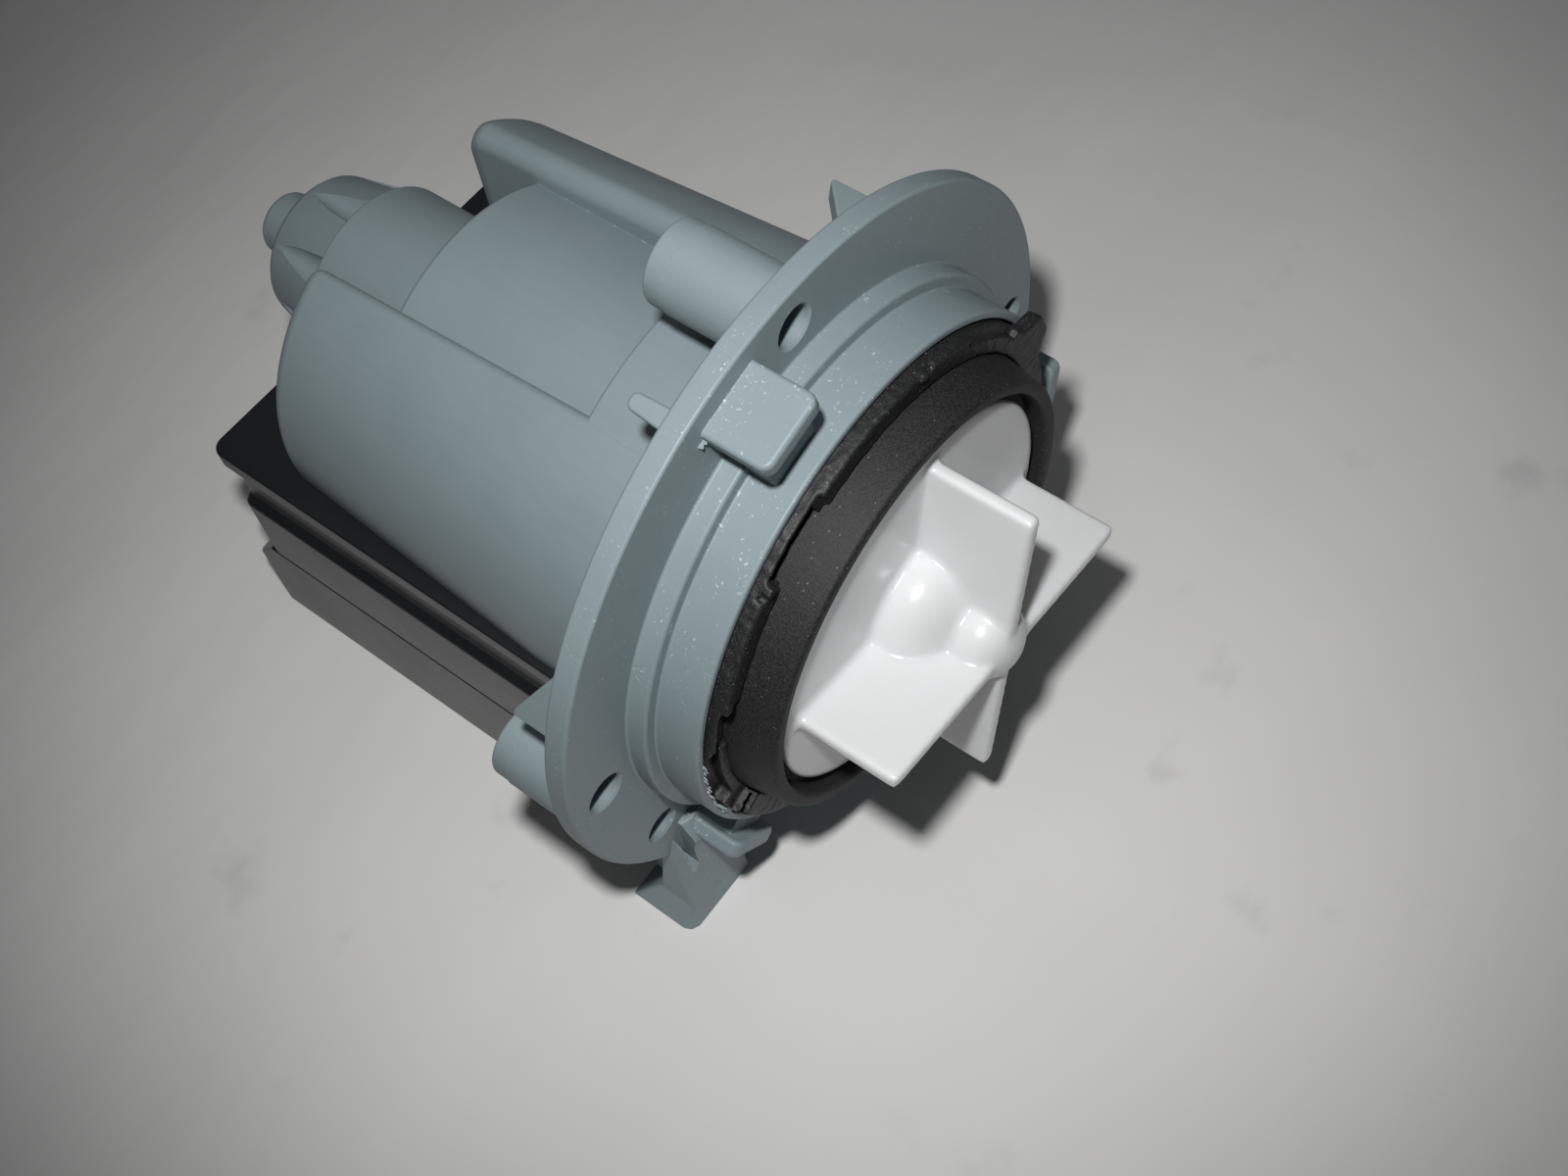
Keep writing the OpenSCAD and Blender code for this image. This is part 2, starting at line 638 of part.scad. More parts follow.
// Terminal socket: plug-in shroud with a back plate and slots for the tabs
module terminal_socket() color(black) difference() {
    out_w = socket_w + 2 * socket_wall;
    out_h = socket_h + 2 * socket_wall;
    plate_y = cover_rear_y - case_wall - socket_wall;
    union() {
        slab_y(plate_y, case_wall + socket_wall + socket_l) translate([0, socket_z()])
            round_rect(out_w, out_h, socket_wall);
        translate([-out_w / 2 - socket_wall, plate_y, cover_floor_z + slip / 2])
            cube([out_w + 2 * socket_wall, socket_wall - slip / 2, out_h + slip]);
    }
    translate([-socket_w / 2, cover_rear_y - case_wall / 2, socket_z() - socket_h / 2])
        cube([socket_w, socket_l + case_wall + over, socket_h]);
    for (s = [-1, 1]) translate([s * tab_pitch / 2 - tab_t / 2, plate_y - over, socket_z() - tab_w / 2])
        cube([tab_t, case_wall + 2 * socket_wall + over, tab_w]);
}

// Spade terminal with a chamfered tip
module terminal_tab() {
    tip = tab_w / 4;
    tail_y = cover_rear_y - case_wall - socket_wall - tab_w;
    tip_y = cover_rear_y + socket_l - 2 * tab_t;
    translate([-tab_t / 2, 0, socket_z()]) rotate([quarter_turn, 0, quarter_turn]) linear_extrude(tab_t)
        polygon([[tail_y, -tab_w / 2], [tip_y - tip, -tab_w / 2], [tip_y, -tab_w / 2 + tip],
            [tip_y, tab_w / 2 - tip], [tip_y - tip, tab_w / 2], [tail_y, tab_w / 2]]);
}

module terminal_tab_left() color(brass) translate([-tab_pitch / 2, 0, 0]) terminal_tab();
module terminal_tab_right() color(brass) translate([tab_pitch / 2, 0, 0]) terminal_tab();

// Thermal cut-out lying against the back of the left coil
module thermal_cutout() color(nylon) {
    cut_w = leg_w;
    cut_t = 4 * bobbin_wall;
    translate([-leg_x, stack_end + bobbin_reach + slip, coil_z() + bobbin_h / 4])
        cube([cut_w, cut_t, bobbin_h / 2]);
}

// Stator core: U-shaped laminations whose poles clasp the rotor can
module stator_core() color(core_steel) slab_y(stack_y, stack_l) difference() {
    union() {
        for (x = [-leg_x, leg_x - leg_w]) translate([x, yoke_z]) square([leg_w, leg_w / 2 - yoke_z]);
        translate([-leg_x, yoke_z]) square([2 * leg_x, leg_w]);
        sector(pole_r, pole_bore_r, 0, pole_reach);
        sector(pole_r, pole_bore_r, half_turn, pole_reach);
    }
    circle(pole_bore_r);
    for (s = [-1, 1], z = rivet_heights()) translate([s * rivet_x(), z]) circle(rivet_r);
}

function rivet_x() = leg_x - rivet_r * 1.7;
function rivet_heights() = [yoke_z + leg_w / 2, leg_w / 4];

module core_rivets() color(steel) both_sides() for (z = rivet_heights()) translate([rivet_x(), 0, z]) {
    rod_y(rivet_r, stack_y, stack_l);
    rod_y(1.5 * rivet_r, stack_y - rivet_head_h, rivet_head_h);
    rod_y(1.5 * rivet_r, stack_end, rivet_head_h);
}

// Coil bobbin around one leg, and its winding
function coil_z() = yoke_z + leg_w + slip;

module coil_frame(grow) translate([leg_x - leg_w / 2, stack_y + stack_l / 2])
    square([leg_w + 2 * grow, stack_l + 2 * grow], center = true);

module coil_bobbin() difference() {
    union() {
        translate([0, 0, coil_z()]) linear_extrude(bobbin_h) coil_frame(slip + bobbin_wall);
        for (z = [coil_z(), coil_z() + bobbin_h - bobbin_wall]) translate([0, 0, z])
            linear_extrude(bobbin_wall) coil_frame(bobbin_reach);
    }
    translate([0, 0, coil_z() - over]) linear_extrude(bobbin_h + 2 * over) coil_frame(slip);
}

module coil_winding() translate([0, 0, coil_z() + bobbin_wall]) linear_extrude(bobbin_h - 2 * bobbin_wall)
    difference() {
        round_frame(bobbin_reach - winding_step);
        coil_frame(slip + bobbin_wall);
    }

module round_frame(grow) translate([leg_x - leg_w / 2, stack_y + stack_l / 2])
    round_rect(leg_w + 2 * grow, stack_l + 2 * grow, grow / 2);

module coil_bobbin_right() color(nylon) coil_bobbin();
module coil_bobbin_left() color(nylon) mirror([1, 0, 0]) coil_bobbin();
module coil_winding_right() color(copper) coil_winding();
module coil_winding_left() color(copper) mirror([1, 0, 0]) coil_winding();

// Front cover: cup with a lip, a well for the coupling and a seat for the front bearing
function cup_floor_y() = -lip_front + cup_depth;
function disc_rear_y() = cup_floor_y() - disc_gap;
function disc_front_y() = disc_rear_y() - disc_t;
function well_floor_y() = -seat_h - slip;
function seal_y() = well_floor_y();
function front_mount_y() = seal_y() + seal_l + 2 * end_gap;
function front_mount_end() = front_mount_y() + bush_l;

module front_cover() color(black) difference() {
    seat_r = collar_r - collar_wall - can_gap;
    pilot_r = chamber_r - slip;
    pilot_in_r = pilot_r - 3.2 * o_ring_r;
    pilot_l = 3.2 * o_ring_r;
    round_c = (lip_r - cup_r) / 3;
    well_out_r = well_r + cup_floor;
    boss_out_r = mount_r + mount_wall;
    retain_r = shaft_r + 2 * washer_t;
    turned_y() polygon([
        [cup_r, -lip_front + round_c], [cup_r + round_c, -lip_front], [lip_r - round_c, -lip_front],
        [lip_r, -lip_front + round_c], [root_r, -collar_h - slip], [root_r, -seat_h - seat_t],
        [seat_r, -seat_h - seat_t],
        [seat_r, -seat_h], [pilot_r, -seat_h], [pilot_r, -seat_h + pilot_l], [pilot_in_r, -seat_h + pilot_l],
        [pilot_in_r, cup_floor_y() + cup_floor], [well_out_r, cup_floor_y() + cup_floor],
        [well_out_r, well_floor_y() + cup_floor], [boss_out_r, well_floor_y() + cup_floor],
        [boss_out_r, front_mount_end()], [mount_r, front_mount_end()], [mount_r, front_mount_y()],
        [retain_r, front_mount_y()], [retain_r, seal_y() + seal_l], [mount_r, seal_y() + seal_l],
        [mount_r, well_floor_y()], [well_r, well_floor_y()], [well_r, cup_floor_y()],
        [cup_r, cup_floor_y()]]);
    turned_y() translate([o_groove_r(), -seat_h + pilot_l / 2 - 1.1 * o_ring_r])
        square([2 * o_ring_r, 2.2 * o_ring_r]);
}

// Front gasket: rubber ring inside the collar, with an ear over the rim and a gap for the key
function gasket_out_r() = collar_r - collar_wall - slip / 2;

module gasket_ear() {
    ear_l = ear_t + gasket_proud / 2;
    translate([root_r, -collar_h - gasket_proud - ear_t, -ear_w / 2])
        cube([ear_r - root_r - ear_w / 2, ear_l, ear_w]);
    translate([ear_r - ear_w / 2, 0, 0]) rod_y(ear_w / 2, -collar_h - gasket_proud - ear_t, ear_l);
}

module front_gasket() color(rubber_black) difference() {
    ear_angle = 24;
    ring_l = collar_h + gasket_proud - seat_h - seat_t;
    union() {
        rod_y(gasket_out_r(), -collar_h - gasket_proud, ring_l);
        at_angle(ear_angle) gasket_ear();
    }
    at_angle(key_angle) translate([root_r, -collar_h - ear_t, -key_w / 2 - slip])
        cube([ear_w, collar_h, key_w + 2 * slip]);
    rod_y(root_r + groove_w, -collar_h - 2 * ear_t, ring_l + 3 * ear_t);
}

// Seals and bearings
function o_groove_r() = chamber_r - 2 * o_ring_r - 2 * run_gap;

module o_ring(major_r, y) turned_y() translate([major_r, y]) circle(o_ring_r, $fn = 32);
module can_o_ring() color(rubber_black)
    o_ring(chamber_r - o_ring_r - run_gap, chamber_y - can_flange_t / 2);
module cover_o_ring() color(rubber_black)
    o_ring(chamber_r - o_ring_r - run_gap, -seat_h + 1.6 * o_ring_r);
module shaft_seal() color(rubber_black) turned_y() polygon([[shaft_r + run_gap, seal_y() + seal_l / 3],
    [shaft_r + run_gap, seal_y() + seal_l / 2], [shaft_r + 2 * washer_t, seal_y() + seal_l],
    [mount_r, seal_y() + seal_l], [mount_r, seal_y()], [mount_r - washer_t, seal_y()],
    [shaft_r + 2 * washer_t, seal_y() + seal_l / 3]]);
module front_bush_mount() color(rubber_black) ring_y(mount_r, bush_r, front_mount_y(), bush_l);
module front_bush() color(ferrite) ring_y(bush_r, shaft_r + run_gap, front_mount_y(), bush_l);

function rear_cap_y() = magnet_y + magnet_l;
function rear_bush_y() = can_l + slip;
function rear_nose_end() = rear_bush_y() - washer_t - 2 * end_gap;

module rear_bush_mount() color(rubber_black) ring_y(mount_r, bush_r, rear_bush_y(), bush_l);
module rear_bush() color(ferrite) ring_y(bush_r, shaft_r + run_gap, rear_bush_y(), bush_l);
module thrust_washer_front() color(steel)
    ring_y(washer_r, shaft_r, front_mount_end() + end_gap, washer_t);
module thrust_washer_rear() color(steel) ring_y(washer_r, shaft_r, rear_nose_end() + end_gap / 2, washer_t);

// Rotor: shaft, ring magnet and end caps
function shaft_front_y() = disc_front_y() - hub_h;

module rotor_shaft() color(steel)
    disc_y(shaft_r, shaft_front_y(), rear_bush_y() + bush_l - end_gap - shaft_front_y(), edge_c / 2);
module magnet_rotor() color(ferrite) difference() {
    disc_y(magnet_r, magnet_y, magnet_l, edge_c);
    rod_y(magnet_bore_r, magnet_y - over, magnet_l + 2 * over);
}
module rotor_cap_front() color(nylon) difference() {
    nose_y = front_mount_end() + 2 * end_gap + washer_t;
    union() {
        disc_y(magnet_r - edge_c, magnet_y - cap_t, cap_t, edge_c);
        rod_y(cap_nose_r, nose_y, magnet_y - nose_y);
        rod_y(magnet_bore_r, magnet_y - cap_t, magnet_l / 2 + cap_t);
    }
    rod_y(shaft_r, nose_y - over, magnet_y + magnet_l);
}
module rotor_cap_rear() color(nylon) difference() {
    union() {
        disc_y(magnet_r - edge_c, rear_cap_y(), cap_t, edge_c);
        rod_y(cap_nose_r, rear_cap_y(), rear_nose_end() - rear_cap_y());
        rod_y(magnet_bore_r, rear_cap_y() - magnet_l / 2, magnet_l / 2 + cap_t);
    }
    rod_y(shaft_r, magnet_y, 2 * magnet_l);
}

// Lost-motion coupling between shaft and impeller
function skirt_end_y() = well_floor_y() - disc_gap;
function dog_front_y() = disc_rear_y() + dog_gap;
function dog_end_y() = skirt_end_y() - dog_gap;
function skirt_in_r() = skirt_r - skirt_wall;

module drive_dog() color(nylon) difference() {
    dog_l = dog_end_y() - dog_front_y();
    union() {
        rod_y(dog_hub_r, dog_front_y(), dog_l);
        slab_y(dog_front_y(), dog_l) sector(skirt_in_r() - dog_gap, dog_hub_r / 2, blade_angle, dog_half);
    }
    rod_y(shaft_r, dog_front_y() - over, dog_l + 2 * over);
}

// Impeller: disc, four flat blades, stepped hub, and the coupling skirt with its key
module impeller() color(impeller_white) difference() {
    blade_front_y = disc_front_y() - blade_h;
    hub_y = disc_front_y() - hub_h;
    cone_y = hub_y - cone_h;
    nose_arc = quarter_arc(nose_r - nose_edge_r, -blade_front_y - nose_edge_r, nose_edge_r);
    union() {
        disc_y(disc_r, disc_front_y(), disc_t, disc_t / 4);
        for (a = screw_angles) at_angle(a + blade_angle) translate([0, blade_front_y, -blade_t / 2])
            cube([blade_r, blade_h + disc_t / 2, blade_t]);
        turned_y() polygon(concat(
            [[0, disc_rear_y()], [hub_r, disc_rear_y()], [hub_r, hub_y], [nose_r, cone_y]],
            [for (q = nose_arc) [q[0], -q[1]]], [[0, blade_front_y]]));
        ring_y(skirt_r, skirt_in_r(), disc_front_y() + disc_t / 2,
            skirt_end_y() - disc_front_y() - disc_t / 2);
        slab_y(disc_front_y() + disc_t / 2, dog_end_y() - disc_front_y() - disc_t / 2)
            sector(skirt_r - skirt_wall / 2, dog_hub_r + dog_gap, blade_angle + half_turn, key_half);
    }
    rod_y(shaft_r + run_gap, shaft_front_y() - end_gap, hub_h + disc_t + end_gap + over);
}

// Rubber buffers on the two sides of the key
module dog_buffers() color(rubber_black)
    slab_y(disc_rear_y() + slip / 2, dog_end_y() - disc_rear_y() - slip / 2)
    for (s = [-1, 1]) sector(skirt_in_r(), dog_hub_r + dog_gap, blade_angle + half_turn
        + s * (key_half + buffer_angle / 2), buffer_angle / 2);

motor_housing();
rotor_can();
stator_case();
base_cover();
stator_core();
core_rivets();
coil_bobbin_left();
coil_bobbin_right();
coil_winding_left();
coil_winding_right();
terminal_socket();
terminal_tab_left();
terminal_tab_right();
thermal_cutout();
case_screws();
front_cover();
front_gasket();
can_o_ring();
cover_o_ring();
front_bush_mount();
front_bush();
rear_bush_mount();
rear_bush();
shaft_seal();
rotor_shaft();
magnet_rotor();
rotor_cap_front();
rotor_cap_rear();
thrust_washer_front();
thrust_washer_rear();
drive_dog();
impeller();
dog_buffers();
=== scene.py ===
import math

import bpy
from mathutils import Matrix, Vector


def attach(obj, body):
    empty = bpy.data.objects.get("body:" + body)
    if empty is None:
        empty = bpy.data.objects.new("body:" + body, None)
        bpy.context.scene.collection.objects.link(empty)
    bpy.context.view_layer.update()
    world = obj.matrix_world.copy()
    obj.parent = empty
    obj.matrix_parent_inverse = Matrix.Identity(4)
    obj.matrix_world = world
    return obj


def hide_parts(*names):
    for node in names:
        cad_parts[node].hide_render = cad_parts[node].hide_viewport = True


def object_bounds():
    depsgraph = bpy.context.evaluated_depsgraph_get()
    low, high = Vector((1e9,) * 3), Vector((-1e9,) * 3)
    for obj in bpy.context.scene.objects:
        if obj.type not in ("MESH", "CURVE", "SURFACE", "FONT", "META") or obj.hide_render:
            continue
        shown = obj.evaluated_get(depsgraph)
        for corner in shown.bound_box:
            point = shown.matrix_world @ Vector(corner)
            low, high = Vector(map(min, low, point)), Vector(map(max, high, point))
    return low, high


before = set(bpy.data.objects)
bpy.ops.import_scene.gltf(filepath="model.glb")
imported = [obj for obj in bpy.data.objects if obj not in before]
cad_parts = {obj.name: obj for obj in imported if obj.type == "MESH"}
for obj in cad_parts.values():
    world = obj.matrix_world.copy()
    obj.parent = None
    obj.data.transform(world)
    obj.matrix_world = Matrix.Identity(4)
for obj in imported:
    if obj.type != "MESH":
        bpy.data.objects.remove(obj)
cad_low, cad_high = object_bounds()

# Camera: held close above the impeller's side of the pump, tilted well down and rolled
# a little, as in the photograph.
mm = 0.001
camera_place = Vector((-85.63, -77.93, 185.28)) * mm
camera_right = Vector((0.60019, -0.79576, -0.08089))
camera_up = Vector((0.71386, 0.48729, 0.50294))
camera_back = Vector((-0.36080, -0.35961, 0.86053))
focal_pixels = 1851.8
frame_pixels = 1600

camera_data = bpy.data.cameras.new("camera")
camera_data.sensor_width = 36
camera_data.lens = camera_data.sensor_width * focal_pixels / frame_pixels
camera_data.clip_start = 5 * mm
camera = bpy.data.objects.new("camera", camera_data)
bpy.context.scene.collection.objects.link(camera)
camera.matrix_world = Matrix.Translation(camera_place) @ Matrix(
    (camera_right, camera_up, camera_back)).transposed().to_4x4()
bpy.context.scene.camera = camera
bpy.context.scene.view_settings.view_transform = "Standard"


# Light: one small lamp above and left of the lens, whose beam fades towards the corners and
# draws the dark edge of shadow on the right, and soft light from a wide panel and all round.
def lamp(name, place, aim, size, level, beam=0):
    """Disc lamp, or spot lamp with a beam angle, that lights a white sheet at aim to a level."""
    light = bpy.data.lights.new(name, "SPOT" if beam else "AREA")
    reach = (aim - place).length
    if beam:
        light.spot_size, light.spot_blend = math.radians(beam), 1
        light.shadow_soft_size = size / 2
        light.energy = level * (2 * math.pi * reach) ** 2
    else:
        light.shape, light.size = "DISK", size
        light.energy = level * (math.pi * reach) ** 2
    holder = bpy.data.objects.new(name, light)
    bpy.context.scene.collection.objects.link(holder)
    holder.location = place
    holder.rotation_euler = (aim - place).to_track_quat("-Z", "Y").to_euler()


near_place = camera_place + (camera_up * 30 - camera_right * 15) * mm
near_aim = camera_place + (camera_right * 5 + camera_up * 15 - camera_back * 230) * mm
lamp("near_lamp", near_place, near_aim, size=13 * mm, level=0.85, beam=74)
panel_place, panel_aim = Vector((60, 120, 620)) * mm, Vector((4, 4, -20)) * mm
lamp("top_panel", panel_place, panel_aim, size=420 * mm, level=0.04)
world = bpy.data.worlds.new("room")
world.use_nodes = True
room_air = world.node_tree.nodes["Background"]
room_air.inputs["Color"].default_value = (0.95, 0.97, 1, 1)
room_air.inputs["Strength"].default_value = 0.04
bpy.context.scene.world = world


# Floor: a wide sheet of white paper that has been folded and lies almost flat. It takes
# soft creases and a few faint smudges.
class Signal:
    """A shader value on which ordinary sums can be written."""

    def __init__(self, finish, socket):
        self.finish, self.socket = finish, socket

    def maths(self, operation, first, second):
        return self.finish.node("ShaderNodeMath", {"operation": operation}, {0: first, 1: second})

    def __add__(self, other):
        return self.maths("ADD", self, other)

    __radd__ = __add__

    def __mul__(self, other):
        return self.maths("MULTIPLY", self, other)

    __rmul__ = __mul__

    def __sub__(self, other):
        return self.maths("SUBTRACT", self, other)

    def __rsub__(self, other):
        return self.maths("SUBTRACT", other, self)

    def ramp(self, low, high):
        """0 below low, 1 above high, and smooth between them."""
        return self.finish.node(
            "ShaderNodeMapRange", {"interpolation_type": "SMOOTHSTEP"},
            {"Value": self, "From Min": low, "From Max": high})


class Finish:
    """A Principled material whose nodes are added by one method."""

    def __init__(self, name, **fixed):
        self.material = bpy.data.materials.new(name)
        self.material.use_nodes = True
        self.tree = self.material.node_tree
        self.shader = self.tree.nodes["Principled BSDF"]
        for socket, value in fixed.items():
            self.shader.inputs[socket.replace("_", " ")].default_value = value
        self.place = self.node("ShaderNodeTexCoord", output="Object")

    def node(self, kind, settings=None, sockets=None, output=0):
        made = self.tree.nodes.new(kind)
        for name, value in (settings or {}).items():
            setattr(made, name, value)
        for name, value in (sockets or {}).items():
            self.join(value, made.inputs[name])
        return Signal(self, made.outputs[output])

    def join(self, value, socket):
        if isinstance(value, Signal):
            self.tree.links.new(value.socket, socket)
        else:
            socket.default_value = value

    def stretched(self, scale):
        """Object coordinates with each axis at its own scale."""
        return self.node("ShaderNodeMapping", {}, {"Vector": self.place, "Scale": scale})

    def noise(self, size, detail=3, where=None):
        """Cloudy noise from 0 to 1 whose blotches are about size metres across."""
        return self.node("ShaderNodeTexNoise", {},
                         {"Vector": where or self.place, "Scale": 1 / size, "Detail": detail})

    def cells(self, size):
        """Distance to the nearest of many points that lie about size metres apart."""
        return self.node("ShaderNodeTexVoronoi", {}, {"Vector": self.place, "Scale": 1 / size})

    def colour(self, factor, low, high):
        return self.node("ShaderNodeMix", {"data_type": "RGBA"}, {0: factor, 6: low, 7: high},
                         output=2)

    def worn_edge(self, radius):
        """1 on sharp outer and inner edges, 0 on open faces."""
        soft = self.node("ShaderNodeBevel", {"samples": 6}, {"Radius": radius})
        face = self.node("ShaderNodeNewGeometry", output="Normal")
        return 1 - self.node("ShaderNodeVectorMath", {"operation": "DOT_PRODUCT"},
                             {0: soft, 1: face}, output="Value")

    def bump(self, height, depth):
        """Relief of the given depth in metres."""
        return self.node("ShaderNodeBump", {},
                         {"Height": height, "Distance": depth, "Strength": 1.0})

    def wear(self, **linked):
        """Links what changes over the surface to the shader."""
        for socket, value in linked.items():
            self.join(value, self.shader.inputs[socket.replace("_", " ")])
        return self.material


paper = Finish("paper", Roughness=0.75)
paper_swell = paper.noise(0.16, 2) * 0.7 + 0.3 * paper.noise(
    0.05, 4, paper.stretched((0.5, 1.3, 1)))
bent = paper.node("ShaderNodeVectorMath", {"operation": "MULTIPLY_ADD"}, {
    0: paper.node("ShaderNodeTexNoise", {}, {"Vector": paper.place, "Scale": 9.0}, output="Color"),
    1: (0.07, 0.07, 0), 2: paper.place})
crease = paper.node("ShaderNodeTexVoronoi", {"feature": "DISTANCE_TO_EDGE"}, {
    "Vector": bent, "Scale": 5.5}).ramp(0, 0.09)
faint = paper.noise(0.09, 2).ramp(0.45, 0.62)
smudge_patch = paper.noise(0.07, 2).ramp(0.46, 0.62)
paper_smudge = paper.noise(0.016, 5).ramp(0.60, 0.74) * smudge_patch * 0.20
paper_colour = paper.colour(paper_swell.ramp(0.3, 0.7), (0.76, 0.755, 0.745, 1),
                            (0.83, 0.822, 0.81, 1))
paper.wear(Base_Color=paper.colour(paper_smudge, paper_colour, (0.25, 0.25, 0.26, 1)),
           Normal=paper.bump(paper_swell * 3 + crease * faint * 0.13, 1.6 * mm))

paper_width = 4
bpy.ops.object.select_all(action="DESELECT")
bpy.ops.mesh.primitive_plane_add(size=paper_width, location=(0, 0, cad_low.z))
floor = bpy.context.active_object
floor.name = "paper_floor"
floor.data.materials.append(paper.material)


# Motor housing: one moulding of blue-grey filled nylon. It has a round flange with a step
# and collar, a drum, a pole cover, two tall shoulders, screw bosses, lugs, fins and feet.
flange_r, flange_t = 46 * mm, 3 * mm
step_r, step_h = 35.9 * mm, 2.7 * mm
collar_r, collar_h, collar_wall, seat_h = 34.2 * mm, 8.7 * mm, 1.1 * mm, 4 * mm
drum_r, drum_l, chamber_r, chamber_l = 29.2 * mm, 19.6 * mm, 26 * mm, 17.2 * mm
cover_r, cover_l, wall_t = 23.4 * mm, 52.1 * mm, 2 * mm
can_hole_r = 13.7 * mm
shoulder_x, shoulder_shift, shoulder_l = 12.9 * mm, 3.4 * mm, 64.2 * mm
shoulder_front_r, shoulder_rear_r = 27.9 * mm, 25.1 * mm
case_top_z = -3.3 * mm
hole_circle_r, hole_r, pin_circle_r, pin_hole_r = 40.6 * mm, 2.5 * mm, 40.3 * mm, 2.3 * mm
boss_r, top_boss_l, side_boss_l = 5.2 * mm, 13 * mm, 9.8 * mm
fin_h, fin_t = 4.6 * mm, 2.4 * mm
fin_in = flange_r - 0.5 * mm - fin_t
key_angle, key_half_w, key_rear = 200, 1.1 * mm, -6.2 * mm
round_steps, merge_gap = 160, 0.002 * mm


def eased(corners, steps=4):
    """Outline through corners (a, b, ease), each corner rounded to its ease."""
    line = []
    for i, (a, b, ease) in enumerate(corners):
        here = Vector((a, b))
        if not ease:
            line.append(here)
            continue
        back = (Vector(corners[i - 1][:2]) - here).normalized()
        ahead = (Vector(corners[(i + 1) % len(corners)][:2]) - here).normalized()
        half = back.angle(ahead) / 2
        centre = here + (back + ahead).normalized() * (ease / math.sin(half))
        first, last = (here + way * (ease / math.tan(half)) - centre for way in (back, ahead))
        line += [centre + first.lerp(last, k / steps).normalized() * ease
                 for k in range(steps + 1)]
    return line


def traced(name, points):
    """Mesh line through the points, left in edit mode and selected."""
    bpy.ops.object.select_all(action="DESELECT")
    bpy.ops.mesh.primitive_plane_add(size=mm)
    piece = bpy.context.active_object
    piece.name = piece.data.name = name
    bpy.ops.object.mode_set(mode="EDIT")
    bpy.ops.mesh.select_all(action="SELECT")
    bpy.ops.mesh.merge(type="CENTER")
    bpy.ops.transform.translate(value=points[0])
    for here, there in zip(points, points[1:]):
        bpy.ops.mesh.extrude_vertices_move(TRANSFORM_OT_translate={"value": there - here})
    bpy.ops.mesh.select_all(action="SELECT")
    return piece


def closed_up():
    """Merges doubled points, turns all faces outwards and leaves edit mode."""
    bpy.ops.mesh.select_all(action="SELECT")
    bpy.ops.mesh.remove_doubles(threshold=merge_gap)
    bpy.ops.mesh.normals_make_consistent(inside=False)
    bpy.ops.object.mode_set(mode="OBJECT")


def turned(name, profile, steps=round_steps, ring=False):
    """Turns a profile of (radius, y) points about the pump axis."""
    points = [Vector((max(r, 0), y, 0)) for r, y in profile]
    piece = traced(name, points + points[:1] if ring else points)
    bpy.ops.mesh.spin(steps=steps, angle=2 * math.pi, center=(0, 0, 0), axis=(0, 1, 0))
    closed_up()
    return piece


def block(name, outline, depth):
    """Solid whose closed outline is pushed along depth."""
    piece = traced(name, outline)
    bpy.ops.mesh.edge_face_add()
    bpy.ops.mesh.select_all(action="SELECT")
    bpy.ops.mesh.extrude_region_move(TRANSFORM_OT_translate={"value": depth})
    closed_up()
    return piece


def pick(piece):
    """Selects one piece and nothing else."""
    bpy.ops.object.select_all(action="DESELECT")
    piece.select_set(True)
    bpy.context.view_layer.objects.active = piece


def settle(piece, angle=0, shift=(0, 0, 0)):
    """Moves a piece, turns it to its angle on the flange and puts both into its mesh."""
    pick(piece)
    piece.location = Matrix.Rotation(-math.radians(angle), 3, "Y") @ Vector(shift)
    piece.rotation_euler = (0, -math.radians(angle), 0)
    bpy.ops.object.transform_apply(location=True, rotation=True, scale=True)
    return piece


def modified(piece, kind, **settings):
    """Adds one modifier and applies it."""
    pick(piece)
    modifier = piece.modifiers.new(kind.lower(), kind)
    for name, value in settings.items():
        setattr(modifier, name, value)
    bpy.ops.object.modifier_apply(modifier=modifier.name)
    return piece


def soft_edges(piece, width, steps=3, angle=30):
    """Rounds every edge that is sharper than angle."""
    return modified(piece, "BEVEL", width=width, segments=steps, limit_method="ANGLE",
                    angle_limit=math.radians(angle))


def fused(piece, *others, operation="UNION"):
    """Adds other solids to a piece, or cuts them out of it."""
    for other in others:
        modified(piece, "BOOLEAN", operation=operation, object=other, solver="MANIFOLD")
        bpy.data.objects.remove(other)
    return piece


def sliced(piece, place, side):
    """Cuts away what lies on the given side of a plane, and closes the cut."""
    pick(piece)
    bpy.ops.object.mode_set(mode="EDIT")
    bpy.ops.mesh.select_all(action="SELECT")
    bpy.ops.mesh.bisect(plane_co=place, plane_no=side, use_fill=True, clear_outer=True)
    closed_up()
    return piece


def finished(piece, material, angle=32):
    """Smooth shading between hard edges, flat faces kept flat."""
    pick(piece)
    bpy.ops.object.shade_smooth_by_angle(angle=math.radians(angle))
    modified(piece, "WEIGHTED_NORMAL", keep_sharp=True, weight=60)
    piece.data.materials.clear()
    piece.data.materials.append(material)
    return piece


def skinned(name, rows):
    """Solid whose skin runs through rows, closed outlines with the same number of points."""
    bpy.ops.object.select_all(action="DESELECT")
    bpy.ops.mesh.primitive_grid_add(x_subdivisions=len(rows[0]) - 1,
                                    y_subdivisions=len(rows) - 1, size=mm)
    piece = bpy.context.active_object
    piece.name = piece.data.name = name
    for point, place in zip(piece.data.vertices, (place for row in rows for place in row)):
        point.co = place
    bpy.ops.object.mode_set(mode="EDIT")
    bpy.ops.mesh.select_all(action="SELECT")
    bpy.ops.mesh.remove_doubles(threshold=merge_gap)
    bpy.ops.mesh.fill_holes(sides=0)
    closed_up()
    return piece


